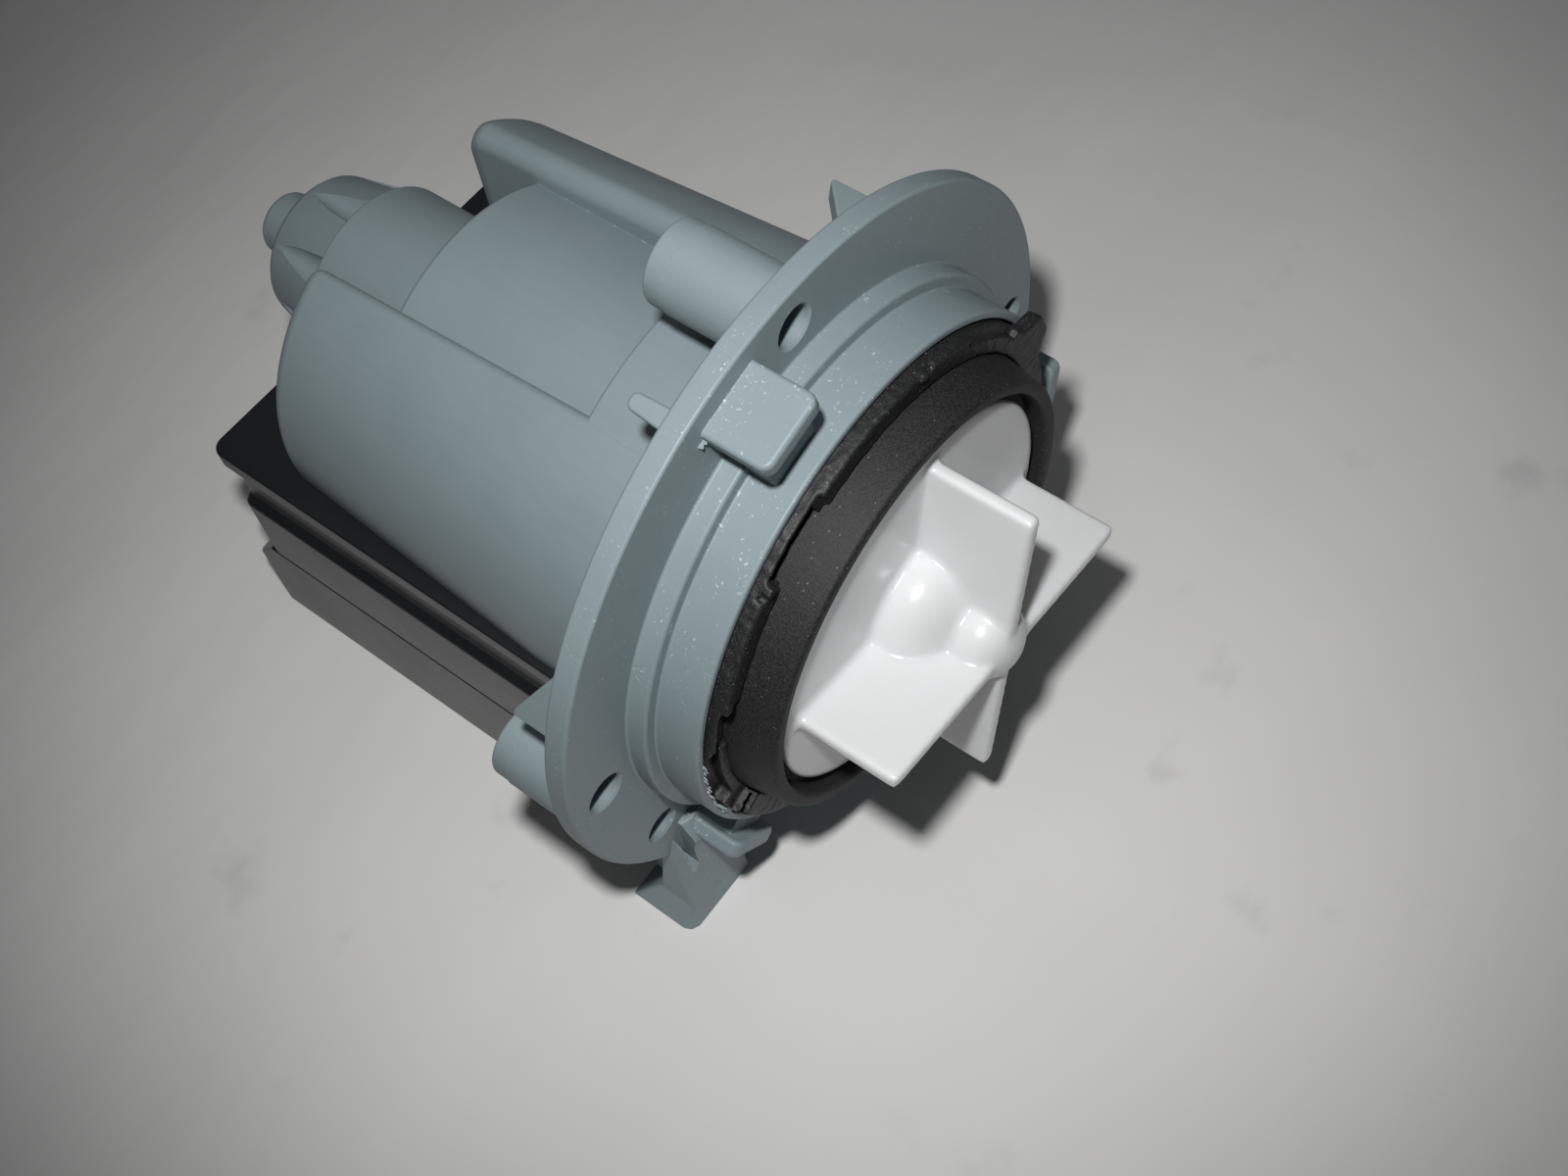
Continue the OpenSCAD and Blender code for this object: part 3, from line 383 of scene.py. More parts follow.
def shoulder(side, inset, front):
    """One shoulder, or its hollow with an inset. Its crest and rear end are well rounded."""
    crest, end = (0.6, 1.0) if inset else (1.3, 2.2) if side < 0 else (2.2, 3.0)
    crest, end, rear = crest * mm, end * mm, shoulder_l - inset
    wall_steps, end_steps, crest_steps, arc_steps = 6, 7, 8, 28
    stations = [(front, 0), (drum_l, 0)]
    stations += [(drum_l + (rear - end - drum_l) * k / wall_steps, 0)
                 for k in range(1, wall_steps + 1)]
    stations += [(rear - end + end * math.sin(a), 1 - math.cos(a))
                 for a in (k * math.pi / (2 * end_steps) for k in range(1, end_steps + 1))]
    rows = []
    for y, drawn in stations:
        along = max(0, (y - drum_l) / (rear - drum_l))
        taper = (shoulder_rear_r - shoulder_front_r) * along
        r = shoulder_front_r + taper - inset - end * drawn
        inner = shoulder_x + inset + 0.4 * end * drawn
        high = math.sqrt((r - crest) ** 2 - (inner + crest - shoulder_shift) ** 2)
        top_turn = math.atan2(high, inner + crest - shoulder_shift)
        low_turn = math.asin(case_top_z / r)
        row = [(inner, case_top_z)]
        row += [(inner + crest + crest * math.cos(a), high + crest * math.sin(a))
                for a in (math.pi + (top_turn - math.pi) * k / crest_steps
                          for k in range(crest_steps + 1))]
        row += [(shoulder_shift + r * math.cos(a), r * math.sin(a))
                for a in (top_turn + (low_turn - top_turn) * k / arc_steps
                          for k in range(1, arc_steps + 1))]
        rows.append([Vector((side * x, y, z)) for x, z in row + row[:1]])
    return skinned("shoulder", rows)


def boss(angle, length):
    """Screw boss behind the flange, its last stretch drawn in a little."""
    rear, neck, drawn = flange_t + length, flange_t + length - 2.6 * mm, 0.12 * mm
    form = turned("boss", eased([
        (0, flange_t / 2, 0), (boss_r, flange_t / 2, 0), (boss_r, neck, 0),
        (boss_r - drawn, neck + 0.1 * mm, 0), (boss_r - drawn, rear, 0.45 * mm), (0, rear, 0)]), 64)
    return settle(form, angle, (hole_circle_r, 0, 0))


def lug(angle, radius):
    """Bayonet lug: a plate with round corners on a narrower web."""
    width, length, plate, setback = 9.4 * mm, 8.3 * mm, 2.4 * mm, 1.1 * mm
    corner, root = 1.3 * mm, flange_t / 2
    outline = [Vector((radius - plate, y, z)) for y, z in eased([
        (-length, -width / 2, corner), (-length, width / 2, corner), (root, width / 2, 0),
        (root, -width / 2, 0)])]
    plate_form = soft_edges(block("lug", outline, Vector((plate, 0, 0))), 0.6 * mm, 4)
    web_in = collar_r - collar_wall / 2
    web_y, web_z = length - 2 * setback, width / 2 - setback
    web = block("lug_web", [Vector((web_in, y, z)) for y, z in (
        (-web_y, -web_z), (-web_y, web_z), (root, web_z), (root, -web_z))],
        Vector((radius - web_in - plate / 2, 0, 0)))
    return settle(fused(plate_form, soft_edges(web, 0.25 * mm)), angle)


def fin(angle, width, side):
    """Three-cornered fin behind the flange, tall on one side."""
    z = -side * width / 2
    outline = [Vector((fin_in, flange_t + y, z)) for y, z in (
        (-flange_t / 2, z), (-flange_t / 2, -z), (0, -z), (fin_h, z * 0.8), (fin_h, z))]
    return settle(soft_edges(block("fin", outline, Vector((fin_t, 0, 0))), 0.3 * mm), angle)


def narrow_fin(angle):
    """Slim fin behind the flange with a round top, thinner towards its tip."""
    width, tip = 2.6 * mm, 0.8 * mm
    outline = [Vector((fin_in, flange_t + y, z)) for y, z in eased([
        (-flange_t / 2, -width / 2, 0), (-flange_t / 2, width / 2, 0), (fin_h, width / 3, tip),
        (fin_h, -width / 2.4, tip)])]
    return settle(soft_edges(block("fin", outline, Vector((fin_t, 0, 0))), 0.35 * mm), angle)


def foot(side):
    """Foot under the flange: a sole whose outer side slopes and whose front corner is round, a
    block whose front leans back up to the flange, with a slot in it, and a rib behind."""
    inner, sole, top = 26 * mm, cad_low.z, cad_low.z / 2
    deck, rim = sole + 3.9 * mm, -29.4 * mm
    rows = []
    # Each level: its height and outer side, and where its corner, front and rear lie from the
    # flange's front, the last four in millimetres.
    for z, x, corner, front, rear in (
            (sole, 38.5, -1.9, -3.5, 7), (deck, 36.2, -2.0, -3.1, 3), (rim, 35.3, -0.15, -2.0, 1.6),
            (top - 3.4 * mm, 34.5, 0.6, -2.6, 1.2), (top - 0.6 * mm, 33.1, 0.6, -1, 1.2)):
        row = [(x, corner), (x, rear), (inner / mm, rear), (inner / mm, front), (x - 1.6, front),
               (x - 0.5, (2 * front + corner) / 3)]
        rows.append([Vector((x * mm, y * mm, z)) for x, y in row + row[:1]])
    form = soft_edges(skinned("foot", rows), 0.3 * mm, 3, 24)
    rib_l, rib_w, slot_front, slot_depth = 6 * mm, 8 * mm, -4, 4.3 * mm
    rib = block("rib", [Vector((inner, y, z)) for y, z in (
        (0, deck - mm), (rib_l, deck - mm), (flange_t, top * 1.5), (flange_t / 2, top), (0, top))],
        Vector((rib_w, 0, 0)))
    slot = block("slot", [Vector((x, slot_front, z)) * mm for x, z in (
        (34.2, -22.6), (34.3, -34), (33, -33), (32.6, -22.6))], Vector((0, slot_depth, 0)))
    fused(fused(form, rib), slot, operation="DIFFERENCE")
    if side < 0:
        pick(form)
        form.scale = (-1, 1, 1)
        bpy.ops.object.transform_apply(scale=True)
        bpy.ops.object.mode_set(mode="EDIT")
        closed_up()
    return form


def torn_edge(name, start, end, circle, front, size, count):
    """Row of thin ragged flakes along the mould line, from start to end degrees."""
    thick, root, waver = 0.16 * mm, 0.3 * mm, 0.12 * mm
    flakes = []
    for i in range(count):
        share = (i + 0.5) / count
        tall = size * (0.45 + 0.55 * abs(math.sin(7.3 * i + 1)))
        lean = 0.35 * size * math.sin(3.1 * i)
        flake = block(name, [Vector((r, front + y, z)) for r, y, z in (
            (0, root, -size / 2), (0, root, size / 2), (0.1 * size, -tall, lean + 0.15 * size),
            (0.1 * size, -tall * 0.7, lean - 0.2 * size))], Vector((thick, 0, 0)))
        flakes.append(settle(flake, start + (end - start) * share,
                             (circle + waver * math.sin(5 * i), 0, 0)))
    return flakes


def drill(radius, front, rear, angle, circle):
    """Cutter for a hole whose two mouths are broken a little."""
    broken = 0.3 * mm
    mouth = radius + broken + mm
    form = turned("drill", [(0, front - mm), (mouth, front - mm), (radius, front + broken),
                            (radius, rear - broken), (mouth, rear + mm), (0, rear + mm)], 64)
    return settle(form, angle, (circle, 0, 0))


collar_in = collar_r - collar_wall
housing = turned("motor_housing_shell", eased([
    (collar_in, -seat_h, 0.2 * mm), (collar_in, -collar_h, 0.3 * mm),
    (collar_r, -collar_h, 0.4 * mm), (collar_r, -step_h, 0.25 * mm), (step_r, -step_h, 0.45 * mm),
    (step_r, 0, 0.35 * mm), (flange_r, 0, 0.4 * mm), (flange_r, flange_t, 0.4 * mm),
    (drum_r, flange_t, 0.5 * mm), (drum_r, drum_l, 0.5 * mm), (can_hole_r, drum_l, 0),
    (can_hole_r, chamber_l, 0), (chamber_r, chamber_l, 0.4 * mm), (chamber_r, -seat_h, 0.3 * mm)]),
    ring=True)
cover_in_r, cover_in_l = cover_r - wall_t, cover_l - wall_t
pole_cover = turned("pole_cover", eased([
    (cover_in_r, chamber_l + mm, 0), (cover_r, chamber_l + mm, 0), (cover_r, cover_l, 0.7 * mm),
    (can_hole_r, cover_l, 0.2 * mm), (can_hole_r, cover_in_l, 0), (cover_in_r, cover_in_l, 0)]),
    ring=True)
sliced(pole_cover, (0, 0, case_top_z), (0, 0, -1))
fused(housing, pole_cover, shoulder(-1, 0, 0.3 * mm), shoulder(1, 0, 0.3 * mm))
fused(housing, boss(90, top_boss_l), boss(0, side_boss_l), boss(180, side_boss_l),
      lug(105, 43 * mm), lug(225, 41 * mm), lug(348, 41 * mm),
      fin(71.4, 5.8 * mm, 1), fin(155, 8.8 * mm, -1), narrow_fin(112), foot(-1), foot(1))
hollow = turned("pole_cover_hollow", [
    (0, drum_l), (cover_in_r, drum_l), (cover_in_r, cover_in_l), (0, cover_in_l)])
can_hole = turned("can_hole", [
    (0, 0), (can_hole_r, 0), (can_hole_r, shoulder_l), (0, shoulder_l)])
screw_holes = [drill(hole_r, 0, flange_t + length, angle, hole_circle_r) for length, angle in (
    (top_boss_l, 90), (side_boss_l, 0), (side_boss_l, 180), (0, 270))]
pin_holes = [drill(pin_hole_r, 0, flange_t, angle, pin_circle_r) for angle in (210, 330)]
fused(housing, hollow, shoulder(-1, wall_t, drum_l), shoulder(1, wall_t, drum_l), can_hole,
      *screw_holes, *pin_holes, operation="DIFFERENCE")

key_in, key_out = 31.1 * mm, 33.65 * mm
key = soft_edges(block("collar_key", [Vector((key_in, y, z)) for y, z in (
    (-collar_h, -key_half_w), (-collar_h, key_half_w), (key_rear, key_half_w),
    (key_rear, -key_half_w))], Vector((key_out - key_in, 0, 0))), 0.2 * mm)
loose = [settle(key, key_angle)]
loose += torn_edge("rim_flake", 172, 197, collar_in + 0.1 * mm, -collar_h, 0.6 * mm, 19)
loose += torn_edge("lug_flake", 111.2, 112.6, 41.8 * mm, -0.1 * mm, 0.55 * mm, 5)
pick(housing)
for part in loose:
    part.select_set(True)
bpy.ops.object.join()

housing_plastic = Finish("blue_grey_plastic", IOR=1.5)
p = housing_plastic
cloud = p.noise(9 * mm, 4)
grain = p.noise(0.5 * mm, 4)
streak = p.noise(0.9 * mm, 3, p.stretched((1, 0.12, 1)))
depth = p.node("ShaderNodeSeparateXYZ", {}, {"Vector": p.place}, output="Y")
front_side = depth.ramp(3.5 * mm, 0.5 * mm)
speck = p.noise(0.42 * mm, 2).ramp(0.62, 0.72)
speck_patch = p.noise(2.4 * mm, 3).ramp(0.44, 0.60) * p.noise(9 * mm, 2).ramp(0.36, 0.54)
nick = p.noise(0.6 * mm, 3).ramp(0.52, 0.70)
edge = p.worn_edge(0.35 * mm).ramp(0.01, 0.2)
base = p.colour(cloud * 0.6 + streak * 0.4, (0.205, 0.258, 0.277, 1),
                (0.250, 0.308, 0.326, 1))
pale = speck * speck_patch * (front_side * 0.6 + 0.05) + edge * (nick * 0.6 + 0.10)
p.wear(Base_Color=p.colour(pale, base, (0.66, 0.70, 0.71, 1)),
       Roughness=0.40 + cloud * 0.10 + grain * 0.08,
       Normal=p.bump(grain * 0.5 + streak * 0.5, 0.02 * mm))
finished(housing, housing_plastic.material)
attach(housing, "housing")
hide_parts("motor_housing")


# Rotor can: a closed tube of the same plastic that keeps the water from the coils. Its crown
# has leaf-shaped scoops that save material, and ends in a round button.
can_r, can_l, can_bore_r, can_bore_l, can_step = 13.4 * mm, 73.7 * mm, 12 * mm, 72.3 * mm, 0.8 * mm
can_seat_r, can_seat_y, can_back_y = 25.7 * mm, 13.2 * mm, 17.2 * mm
groove_r, groove_y, groove_w = 24.02 * mm, 15.2 * mm, 2.09 * mm
bearing_r, bearing_end = 5.4 * mm, 81.1 * mm
crown_r, crown_end, button_r, button_end = 10.2 * mm, 84.7 * mm, 4.5 * mm, 92.4 * mm
scoop_count, first_scoop = 8, 87
scoop_r, scoop_mid_r, scoop_tip_r, scoop_l = 2.35 * mm, 1.5 * mm, 0.3 * mm, 10 * mm

can = turned("rotor_can_shell", eased([
    (0, bearing_end, 0), (bearing_r, bearing_end, 0), (bearing_r, can_bore_l, 0),
    (can_bore_r, can_bore_l, 0.8 * mm), (can_bore_r, can_seat_y, 0.3 * mm),
    (can_seat_r, can_seat_y, 0.3 * mm), (can_seat_r, groove_y - groove_w / 2, 0),
    (groove_r, groove_y - groove_w / 2, 0), (groove_r, groove_y + groove_w / 2, 0),
    (can_seat_r, groove_y + groove_w / 2, 0), (can_seat_r, can_back_y, 0.3 * mm),
    (can_r, can_back_y, 0.5 * mm), (can_r, can_l - can_step / 2, 0.4 * mm),
    (can_r - can_step, can_l, 0.15 * mm), (crown_r, crown_end, 1.6 * mm),
    (button_r, crown_end, 0.4 * mm), (button_r, button_end, 0.9 * mm), (0, button_end, 0)]))
scoops = []
for i in range(scoop_count):
    scoop = turned("scoop", [(0, 0), (scoop_r, 0), (scoop_mid_r, scoop_l / 2),
                             (scoop_tip_r, scoop_l), (0, scoop_l)], 28)
    scoop.rotation_euler = (0, 0, math.atan2(can_r - can_step - crown_r, crown_end - can_l))
    bpy.ops.object.transform_apply(rotation=True)
    scoops.append(settle(scoop, first_scoop + i * 360 / scoop_count,
                         (can_r - can_step + 0.55 * mm, can_l + 0.35 * mm, 0)))
fused(can, *scoops, operation="DIFFERENCE")
finished(can, housing_plastic.material, 28)
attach(can, "housing")
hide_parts("rotor_can")


# Stator case: a box of glossy black plastic under the housing, drawn in along each side below
# its top plate. The coils stand in it, and four pillars inside take the screws from below.
case_x, case_front, case_rear, case_t = 32.2 * mm, 20 * mm, 75.9 * mm, 2 * mm
case_corner, cheek_l = 2 * mm, 4 * mm
lip_z, strip_z, drawn_in = -7.5 * mm, -14.1 * mm, 1.3 * mm
arms_x, arms_low, arms_front, arms_l, saddle_r = 21.7 * mm, -7.3 * mm, 28.3 * mm, 21.9 * mm, 15 * mm
sole_z = cad_low.z
seam_z = sole_z + 18.1 * mm
pillar_x, pillar_ys, pillar_r, screw_r = 26.5 * mm, (59.7 * mm, 71.5 * mm), 3 * mm, 1.5 * mm


def upright(name, radius, low, high, x, y, steps=32):
    """Round solid that stands upright between two heights."""
    form = turned(name, [(0, 0), (radius, 0), (radius, high - low), (0, high - low)], steps)
    form.rotation_euler = (math.pi / 2, 0, 0)
    form.location = (x, y, low)
    bpy.ops.object.transform_apply(location=True, rotation=True)
    return form


def four(name, radius, low, high):
    """One upright at each case screw."""
    return [upright(name, radius, low, high, side * pillar_x, y)
            for side in (-1, 1) for y in pillar_ys]


def round_corners(piece, plane_y, reach, radius):
    """Rounds the upright edges of a block at the given y and beyond the given x."""
    pick(piece)
    bpy.ops.object.mode_set(mode="EDIT")
    bpy.ops.mesh.select_all(action="DESELECT")
    bpy.ops.mesh.select_mode(type="EDGE")
    bpy.ops.object.mode_set(mode="OBJECT")
    points = piece.data.vertices
    for line in piece.data.edges:
        ends = [points[k].co for k in line.vertices]
        placed = all(abs(end.y - plane_y) < 0.01 * mm and abs(end.x) > reach for end in ends)
        line.select = placed and ends[0].x * ends[1].x > 0
    bpy.ops.object.mode_set(mode="EDIT")
    bpy.ops.mesh.bevel(offset=radius, segments=7)
    bpy.ops.mesh.select_mode(type="VERT")
    bpy.ops.object.mode_set(mode="OBJECT")


side_line = [(case_x, case_top_z), (case_x, lip_z + drawn_in), (case_x - drawn_in, lip_z),
             (case_x - drawn_in, strip_z), (case_x, strip_z - drawn_in), (case_x, seam_z)]
outline = side_line + [(-x, z) for x, z in reversed(side_line)]
case_mouth = case_front - cheek_l
case = block("stator_case_shell", [Vector((x, case_mouth, z)) for x, z in outline],
             Vector((0, case_rear - case_mouth, 0)))
round_corners(case, case_rear, case_x - case_corner, case_corner)
soft_edges(case, 0.35 * mm, 3, 25)
inner_x, inner_top = case_x - drawn_in - case_t, case_top_z - case_t
room = block("case_room", [Vector((x, case_front + case_t, z)) for x, z in (
    (-inner_x, seam_z - mm), (inner_x, seam_z - mm), (inner_x, inner_top), (-inner_x, inner_top))],
    Vector((0, case_rear - case_front - 2 * case_t, 0)))
fused(case, room, operation="DIFFERENCE")
saddle_rear = case_rear - 0.1 * mm
saddle = turned("saddle", [
    (0, cover_l), (saddle_r, cover_l), (saddle_r, saddle_rear), (0, saddle_rear)], 96)
sliced(saddle, (0, 0, case_top_z - 0.1 * mm), (0, 0, 1))
fused(case, saddle, *four("pillar", pillar_r, seam_z + 0.05 * mm, case_top_z - case_t / 2))
arms = block("arms_way", [Vector((x, arms_front, z)) for x, z in (
    (-arms_x, arms_low), (arms_x, arms_low), (arms_x, 0), (-arms_x, 0))],
    Vector((0, arms_l, 0)))
can_way = turned("can_way", [(0, case_front - mm), (can_hole_r, case_front - mm),
                             (can_hole_r, case_rear + mm), (0, case_rear + mm)], 96)
drum_way_r, drum_way_l = drum_r + 0.15 * mm, drum_l + 0.1 * mm
drum_way = turned("drum_way", [
    (0, 0), (drum_way_r, 0), (drum_way_r, drum_way_l), (0, drum_way_l)])
fused(case, arms, can_way, drum_way, *four("screw_way", screw_r, seam_z - mm, seam_z + 9.2 * mm),
      operation="DIFFERENCE")

case_plastic = Finish("glossy_black_plastic", IOR=1.5)
p = case_plastic
cloud = p.noise(11 * mm, 3)
grain = p.noise(0.7 * mm, 3)
dust = 1 - p.cells(0.8 * mm).ramp(0.03, 0.10)
dusty = dust * p.noise(6 * mm, 2).ramp(0.55, 0.7)
rub = p.worn_edge(0.4 * mm).ramp(0.02, 0.25)
base = p.colour(cloud, (0.0075, 0.0085, 0.0095, 1), (0.014, 0.015, 0.016, 1))
p.wear(Base_Color=p.colour(dusty * 0.35 + rub * 0.12, base, (0.16, 0.165, 0.17, 1)),
       Roughness=0.27 + cloud * 0.10 + dusty * 0.2 + grain * 0.05,
       Normal=p.bump(cloud * 3 + grain * 0.4, 0.05 * mm))
finished(case, case_plastic.material)
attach(case, "housing")
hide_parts("stator_case")


# Base cover: a tray of the same black plastic that closes the case from below and reaches out
# behind it, where the terminals come through. Screw heads sink into its underside.
tray_rear, upright_h = 80.9 * mm, 12.7 * mm
tray_in_x, tray_floor = case_x - case_t, sole_z + case_t
rim_z, lid_t, head_way_r = seam_z - 0.12 * mm, 0.9 * mm, 2.8 * mm
socket_x, socket_half = 10.3 * mm, 4.8 * mm
socket_mid = tray_floor + socket_half

tray = block("base_cover_shell", [Vector((-case_x, y, z)) for y, z in (
    (case_front, sole_z), (tray_rear, sole_z), (tray_rear, sole_z + upright_h), (case_rear, rim_z),
    (case_front, rim_z))], Vector((2 * case_x, 0, 0)))
round_corners(tray, tray_rear, case_x - case_corner, 1.5 * mm)
soft_edges(tray, 0.35 * mm, 3, 25)
rear_in, step_in = tray_rear - case_t, case_rear - case_t
hollow = block("tray_room", [Vector((-tray_in_x, y, z)) for y, z in (
    (case_front + case_t, tray_floor), (rear_in, tray_floor),
    (rear_in, sole_z + upright_h - lid_t), (step_in, rim_z - lid_t), (step_in, rim_z + mm),
    (case_front + case_t, rim_z + mm))],
    Vector((2 * tray_in_x, 0, 0)))
fused(tray, hollow, operation="DIFFERENCE")
fused(tray, *four("tray_pillar", pillar_r, sole_z + case_t / 2, rim_z - 0.02 * mm))
window = block("socket_window", [Vector((x, rear_in - mm, z)) for x, z in (
    (-socket_x, socket_mid - socket_half), (socket_x, socket_mid - socket_half),
    (socket_x, socket_mid + socket_half), (-socket_x, socket_mid + socket_half))],
    Vector((0, case_t + 2 * mm, 0)))
fused(tray, window, *four("screw_way", screw_r + 0.2 * mm, sole_z - mm, rim_z + mm),
      *four("head_way", head_way_r, sole_z - mm, sole_z + mm), operation="DIFFERENCE")
finished(tray, case_plastic.material)
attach(tray, "housing")
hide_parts("base_cover")


# Case screws: four pan-head thread-forming screws of zinc-plated steel with a cross recess.
screw_low, head_r, head_h, screw_l = sole_z + 0.2 * mm, 2.6 * mm, 0.6 * mm, 26 * mm
thread_depth, half_pitch, half_turns = 0.28 * mm, 0.5 * mm, 48
cross_w, cross_t, cross_depth = 2.6 * mm, 0.44 * mm, 0.35 * mm
thread = [(screw_r - thread_depth * (k % 2), head_h + mm + k * half_pitch, 0)
          for k in range(half_turns)]
screws = []
for side in (-1, 1):
    for y in pillar_ys:
        form = turned("case_screw", eased([
            (0, 0, 0), (head_r, 0, 0.25 * mm), (head_r, head_h, 0.15 * mm), (screw_r, head_h, 0)]
            + thread + [(0.5 * mm, screw_l, 0), (0, screw_l, 0)]), 32)
        for turn in (0, math.pi / 2):
            blade = block("cross", [Vector((x * cross_w / 2, -mm, z * cross_t / 2)) for x, z in (
                (-1, -1), (1, -1), (1, 1), (-1, 1))], Vector((0, mm + cross_depth, 0)))
            blade.rotation_euler = (0, turn, 0)
            bpy.ops.object.transform_apply(rotation=True)
            fused(form, blade, operation="DIFFERENCE")
        form.rotation_euler = (math.pi / 2, 0, 0)
        form.location = (side * pillar_x, y, screw_low)
        pick(form)
        bpy.ops.object.transform_apply(location=True, rotation=True)
        screws.append(form)
pick(screws[0])
for form in screws:
    form.select_set(True)
bpy.ops.object.join()
screw_set = bpy.context.active_object
screw_set.name = "case_screw_set"

plated = Finish("zinc_plated_steel", Metallic=1.0, IOR=1.5)
p = plated
scuff = p.noise(0.5 * mm, 4, p.stretched((1, 1, 0.2)))
stain = p.noise(2.4 * mm, 3)
p.wear(Base_Color=p.colour(stain, (0.52, 0.53, 0.55, 1), (0.72, 0.72, 0.71, 1)),
       Roughness=0.24 + scuff * 0.22, Normal=p.bump(scuff, 0.02 * mm))
finished(screw_set, plated.material)
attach(screw_set, "housing")
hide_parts("case_screws")


# Terminal socket: an oblong shroud with a back plate and a slot for each spade terminal,
# snapped into the window of the base cover. It is moulded in black plastic.
shroud_x, shroud_half, shroud_t = 10.2 * mm, 4.7 * mm, 1.2 * mm
shroud_rear, plate_front, shroud_floor = tray_rear + 8 * mm, tray_rear - 3.2 * mm, tray_rear - mm
plate_t, tab_x, slot_w, slot_h = 1.1 * mm, 5 * mm, 0.8 * mm, 6.3 * mm


def oblong(name, half_w, half_h, corner, front, rear):
    """Block with round corners, centred on the socket."""
    return block(name, [Vector((x, front, z)) for x, z in eased([
        (-half_w, socket_mid - half_h, corner), (half_w, socket_mid - half_h, corner),
        (half_w, socket_mid + half_h, corner), (-half_w, socket_mid + half_h, corner)], 6)],
        Vector((0, rear - front, 0)))


shroud = soft_edges(oblong("terminal_socket_shell", shroud_x, shroud_half, shroud_t, plate_front,
                           shroud_rear), 0.22 * mm, 3, 50)
plate = soft_edges(oblong("plate", shroud_x + shroud_t, shroud_half + 0.1 * mm, 0.3 * mm,
                          plate_front, plate_front + plate_t), 0.15 * mm, 2, 50)
fused(shroud, plate)
fused(shroud, oblong("shroud_room", shroud_x - shroud_t, shroud_half - shroud_t, 0.5 * mm,
                     shroud_floor, shroud_rear + mm), operation="DIFFERENCE")
for side in (-1, 1):
    slot = block("slot", [
        Vector((side * tab_x + x * slot_w / 2, plate_front - mm, socket_mid + z * slot_h / 2))
        for x, z in ((-1, -1), (1, -1), (1, 1), (-1, 1))], Vector((0, 5 * mm, 0)))
    fused(shroud, slot, operation="DIFFERENCE")
finished(shroud, case_plastic.material)
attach(shroud, "housing")
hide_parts("terminal_socket")


# Spade terminals: two stamped blades of tinned brass, each with a chamfered tip, a dimple
# hole in which the receptacle latches, and edges burred a little by the stamping.
tab_t, tab_w = 0.8 * mm, 6.3 * mm
tab_front, tab_rear, tab_tip = tray_rear - 9.5 * mm, tray_rear + 6.4 * mm, tab_w / 4
dimple_r, dimple_back = 0.85 * mm, 3.6 * mm

tinned = Finish("tinned_brass", Metallic=1.0)
p = tinned
rolled = p.noise(0.3 * mm, 4, p.stretched((1, 0.1, 1)))
bare = p.worn_edge(0.2 * mm).ramp(0.03, 0.3)
tin = p.colour(p.noise(1.8 * mm, 3), (0.60, 0.58, 0.52, 1), (0.76, 0.74, 0.69, 1))
p.wear(Base_Color=p.colour(bare * 0.6, tin, (0.72, 0.52, 0.22, 1)),
       Roughness=0.22 + rolled * 0.25, Normal=p.bump(rolled, 0.015 * mm))
for side, word in ((-1, "left"), (1, "right")):
    x = side * tab_x - tab_t / 2
    tab = block("spade_terminal_" + word, [Vector((x, y, socket_mid + z)) for y, z in (
        (tab_front, -tab_w / 2), (tab_rear - tab_tip, -tab_w / 2), (tab_rear, -tab_w / 2 + tab_tip),
        (tab_rear, tab_w / 2 - tab_tip), (tab_rear - tab_tip, tab_w / 2),
        (tab_front, tab_w / 2))], Vector((tab_t, 0, 0)))
    soft_edges(tab, 0.12 * mm, 2)
    dimple = upright("dimple", dimple_r, -2 * mm, 2 * mm, 0, 0)
    dimple.rotation_euler = (0, math.pi / 2, 0)
    dimple.location = (side * tab_x, tab_rear - dimple_back, socket_mid)
    bpy.ops.object.transform_apply(location=True, rotation=True)
    fused(tab, dimple, operation="DIFFERENCE")
    finished(tab, tinned.material)
    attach(tab, "housing")
    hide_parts("terminal_tab_" + word)


# Front cover: a cup of glass-filled black plastic in which the impeller turns, with a rounded
# front lip, a well for the coupling and a seat for the front bearing.
lip_y, cup_floor_y, rest_y = -15 * mm, -11.6 * mm, -6 * mm
root_r, lip_r, cup_r = 29.5 * mm, 28.5 * mm, 26.7 * mm
well_r, well_y, floor_t = 10 * mm, -4.2 * mm, 2 * mm
floor_back, well_back = cup_floor_y + floor_t, well_y + floor_t
seat_r, pilot_r, pilot_in_r, pilot_y = 32.8 * mm, 25.8 * mm, 22.76 * mm, -0.96 * mm
seal_r, seal_end, bush_y, bush_end = 3.6 * mm, -1.8 * mm, -1.4 * mm, 5.6 * mm
ring_front, ring_rear = -3.52 * mm, -1.44 * mm

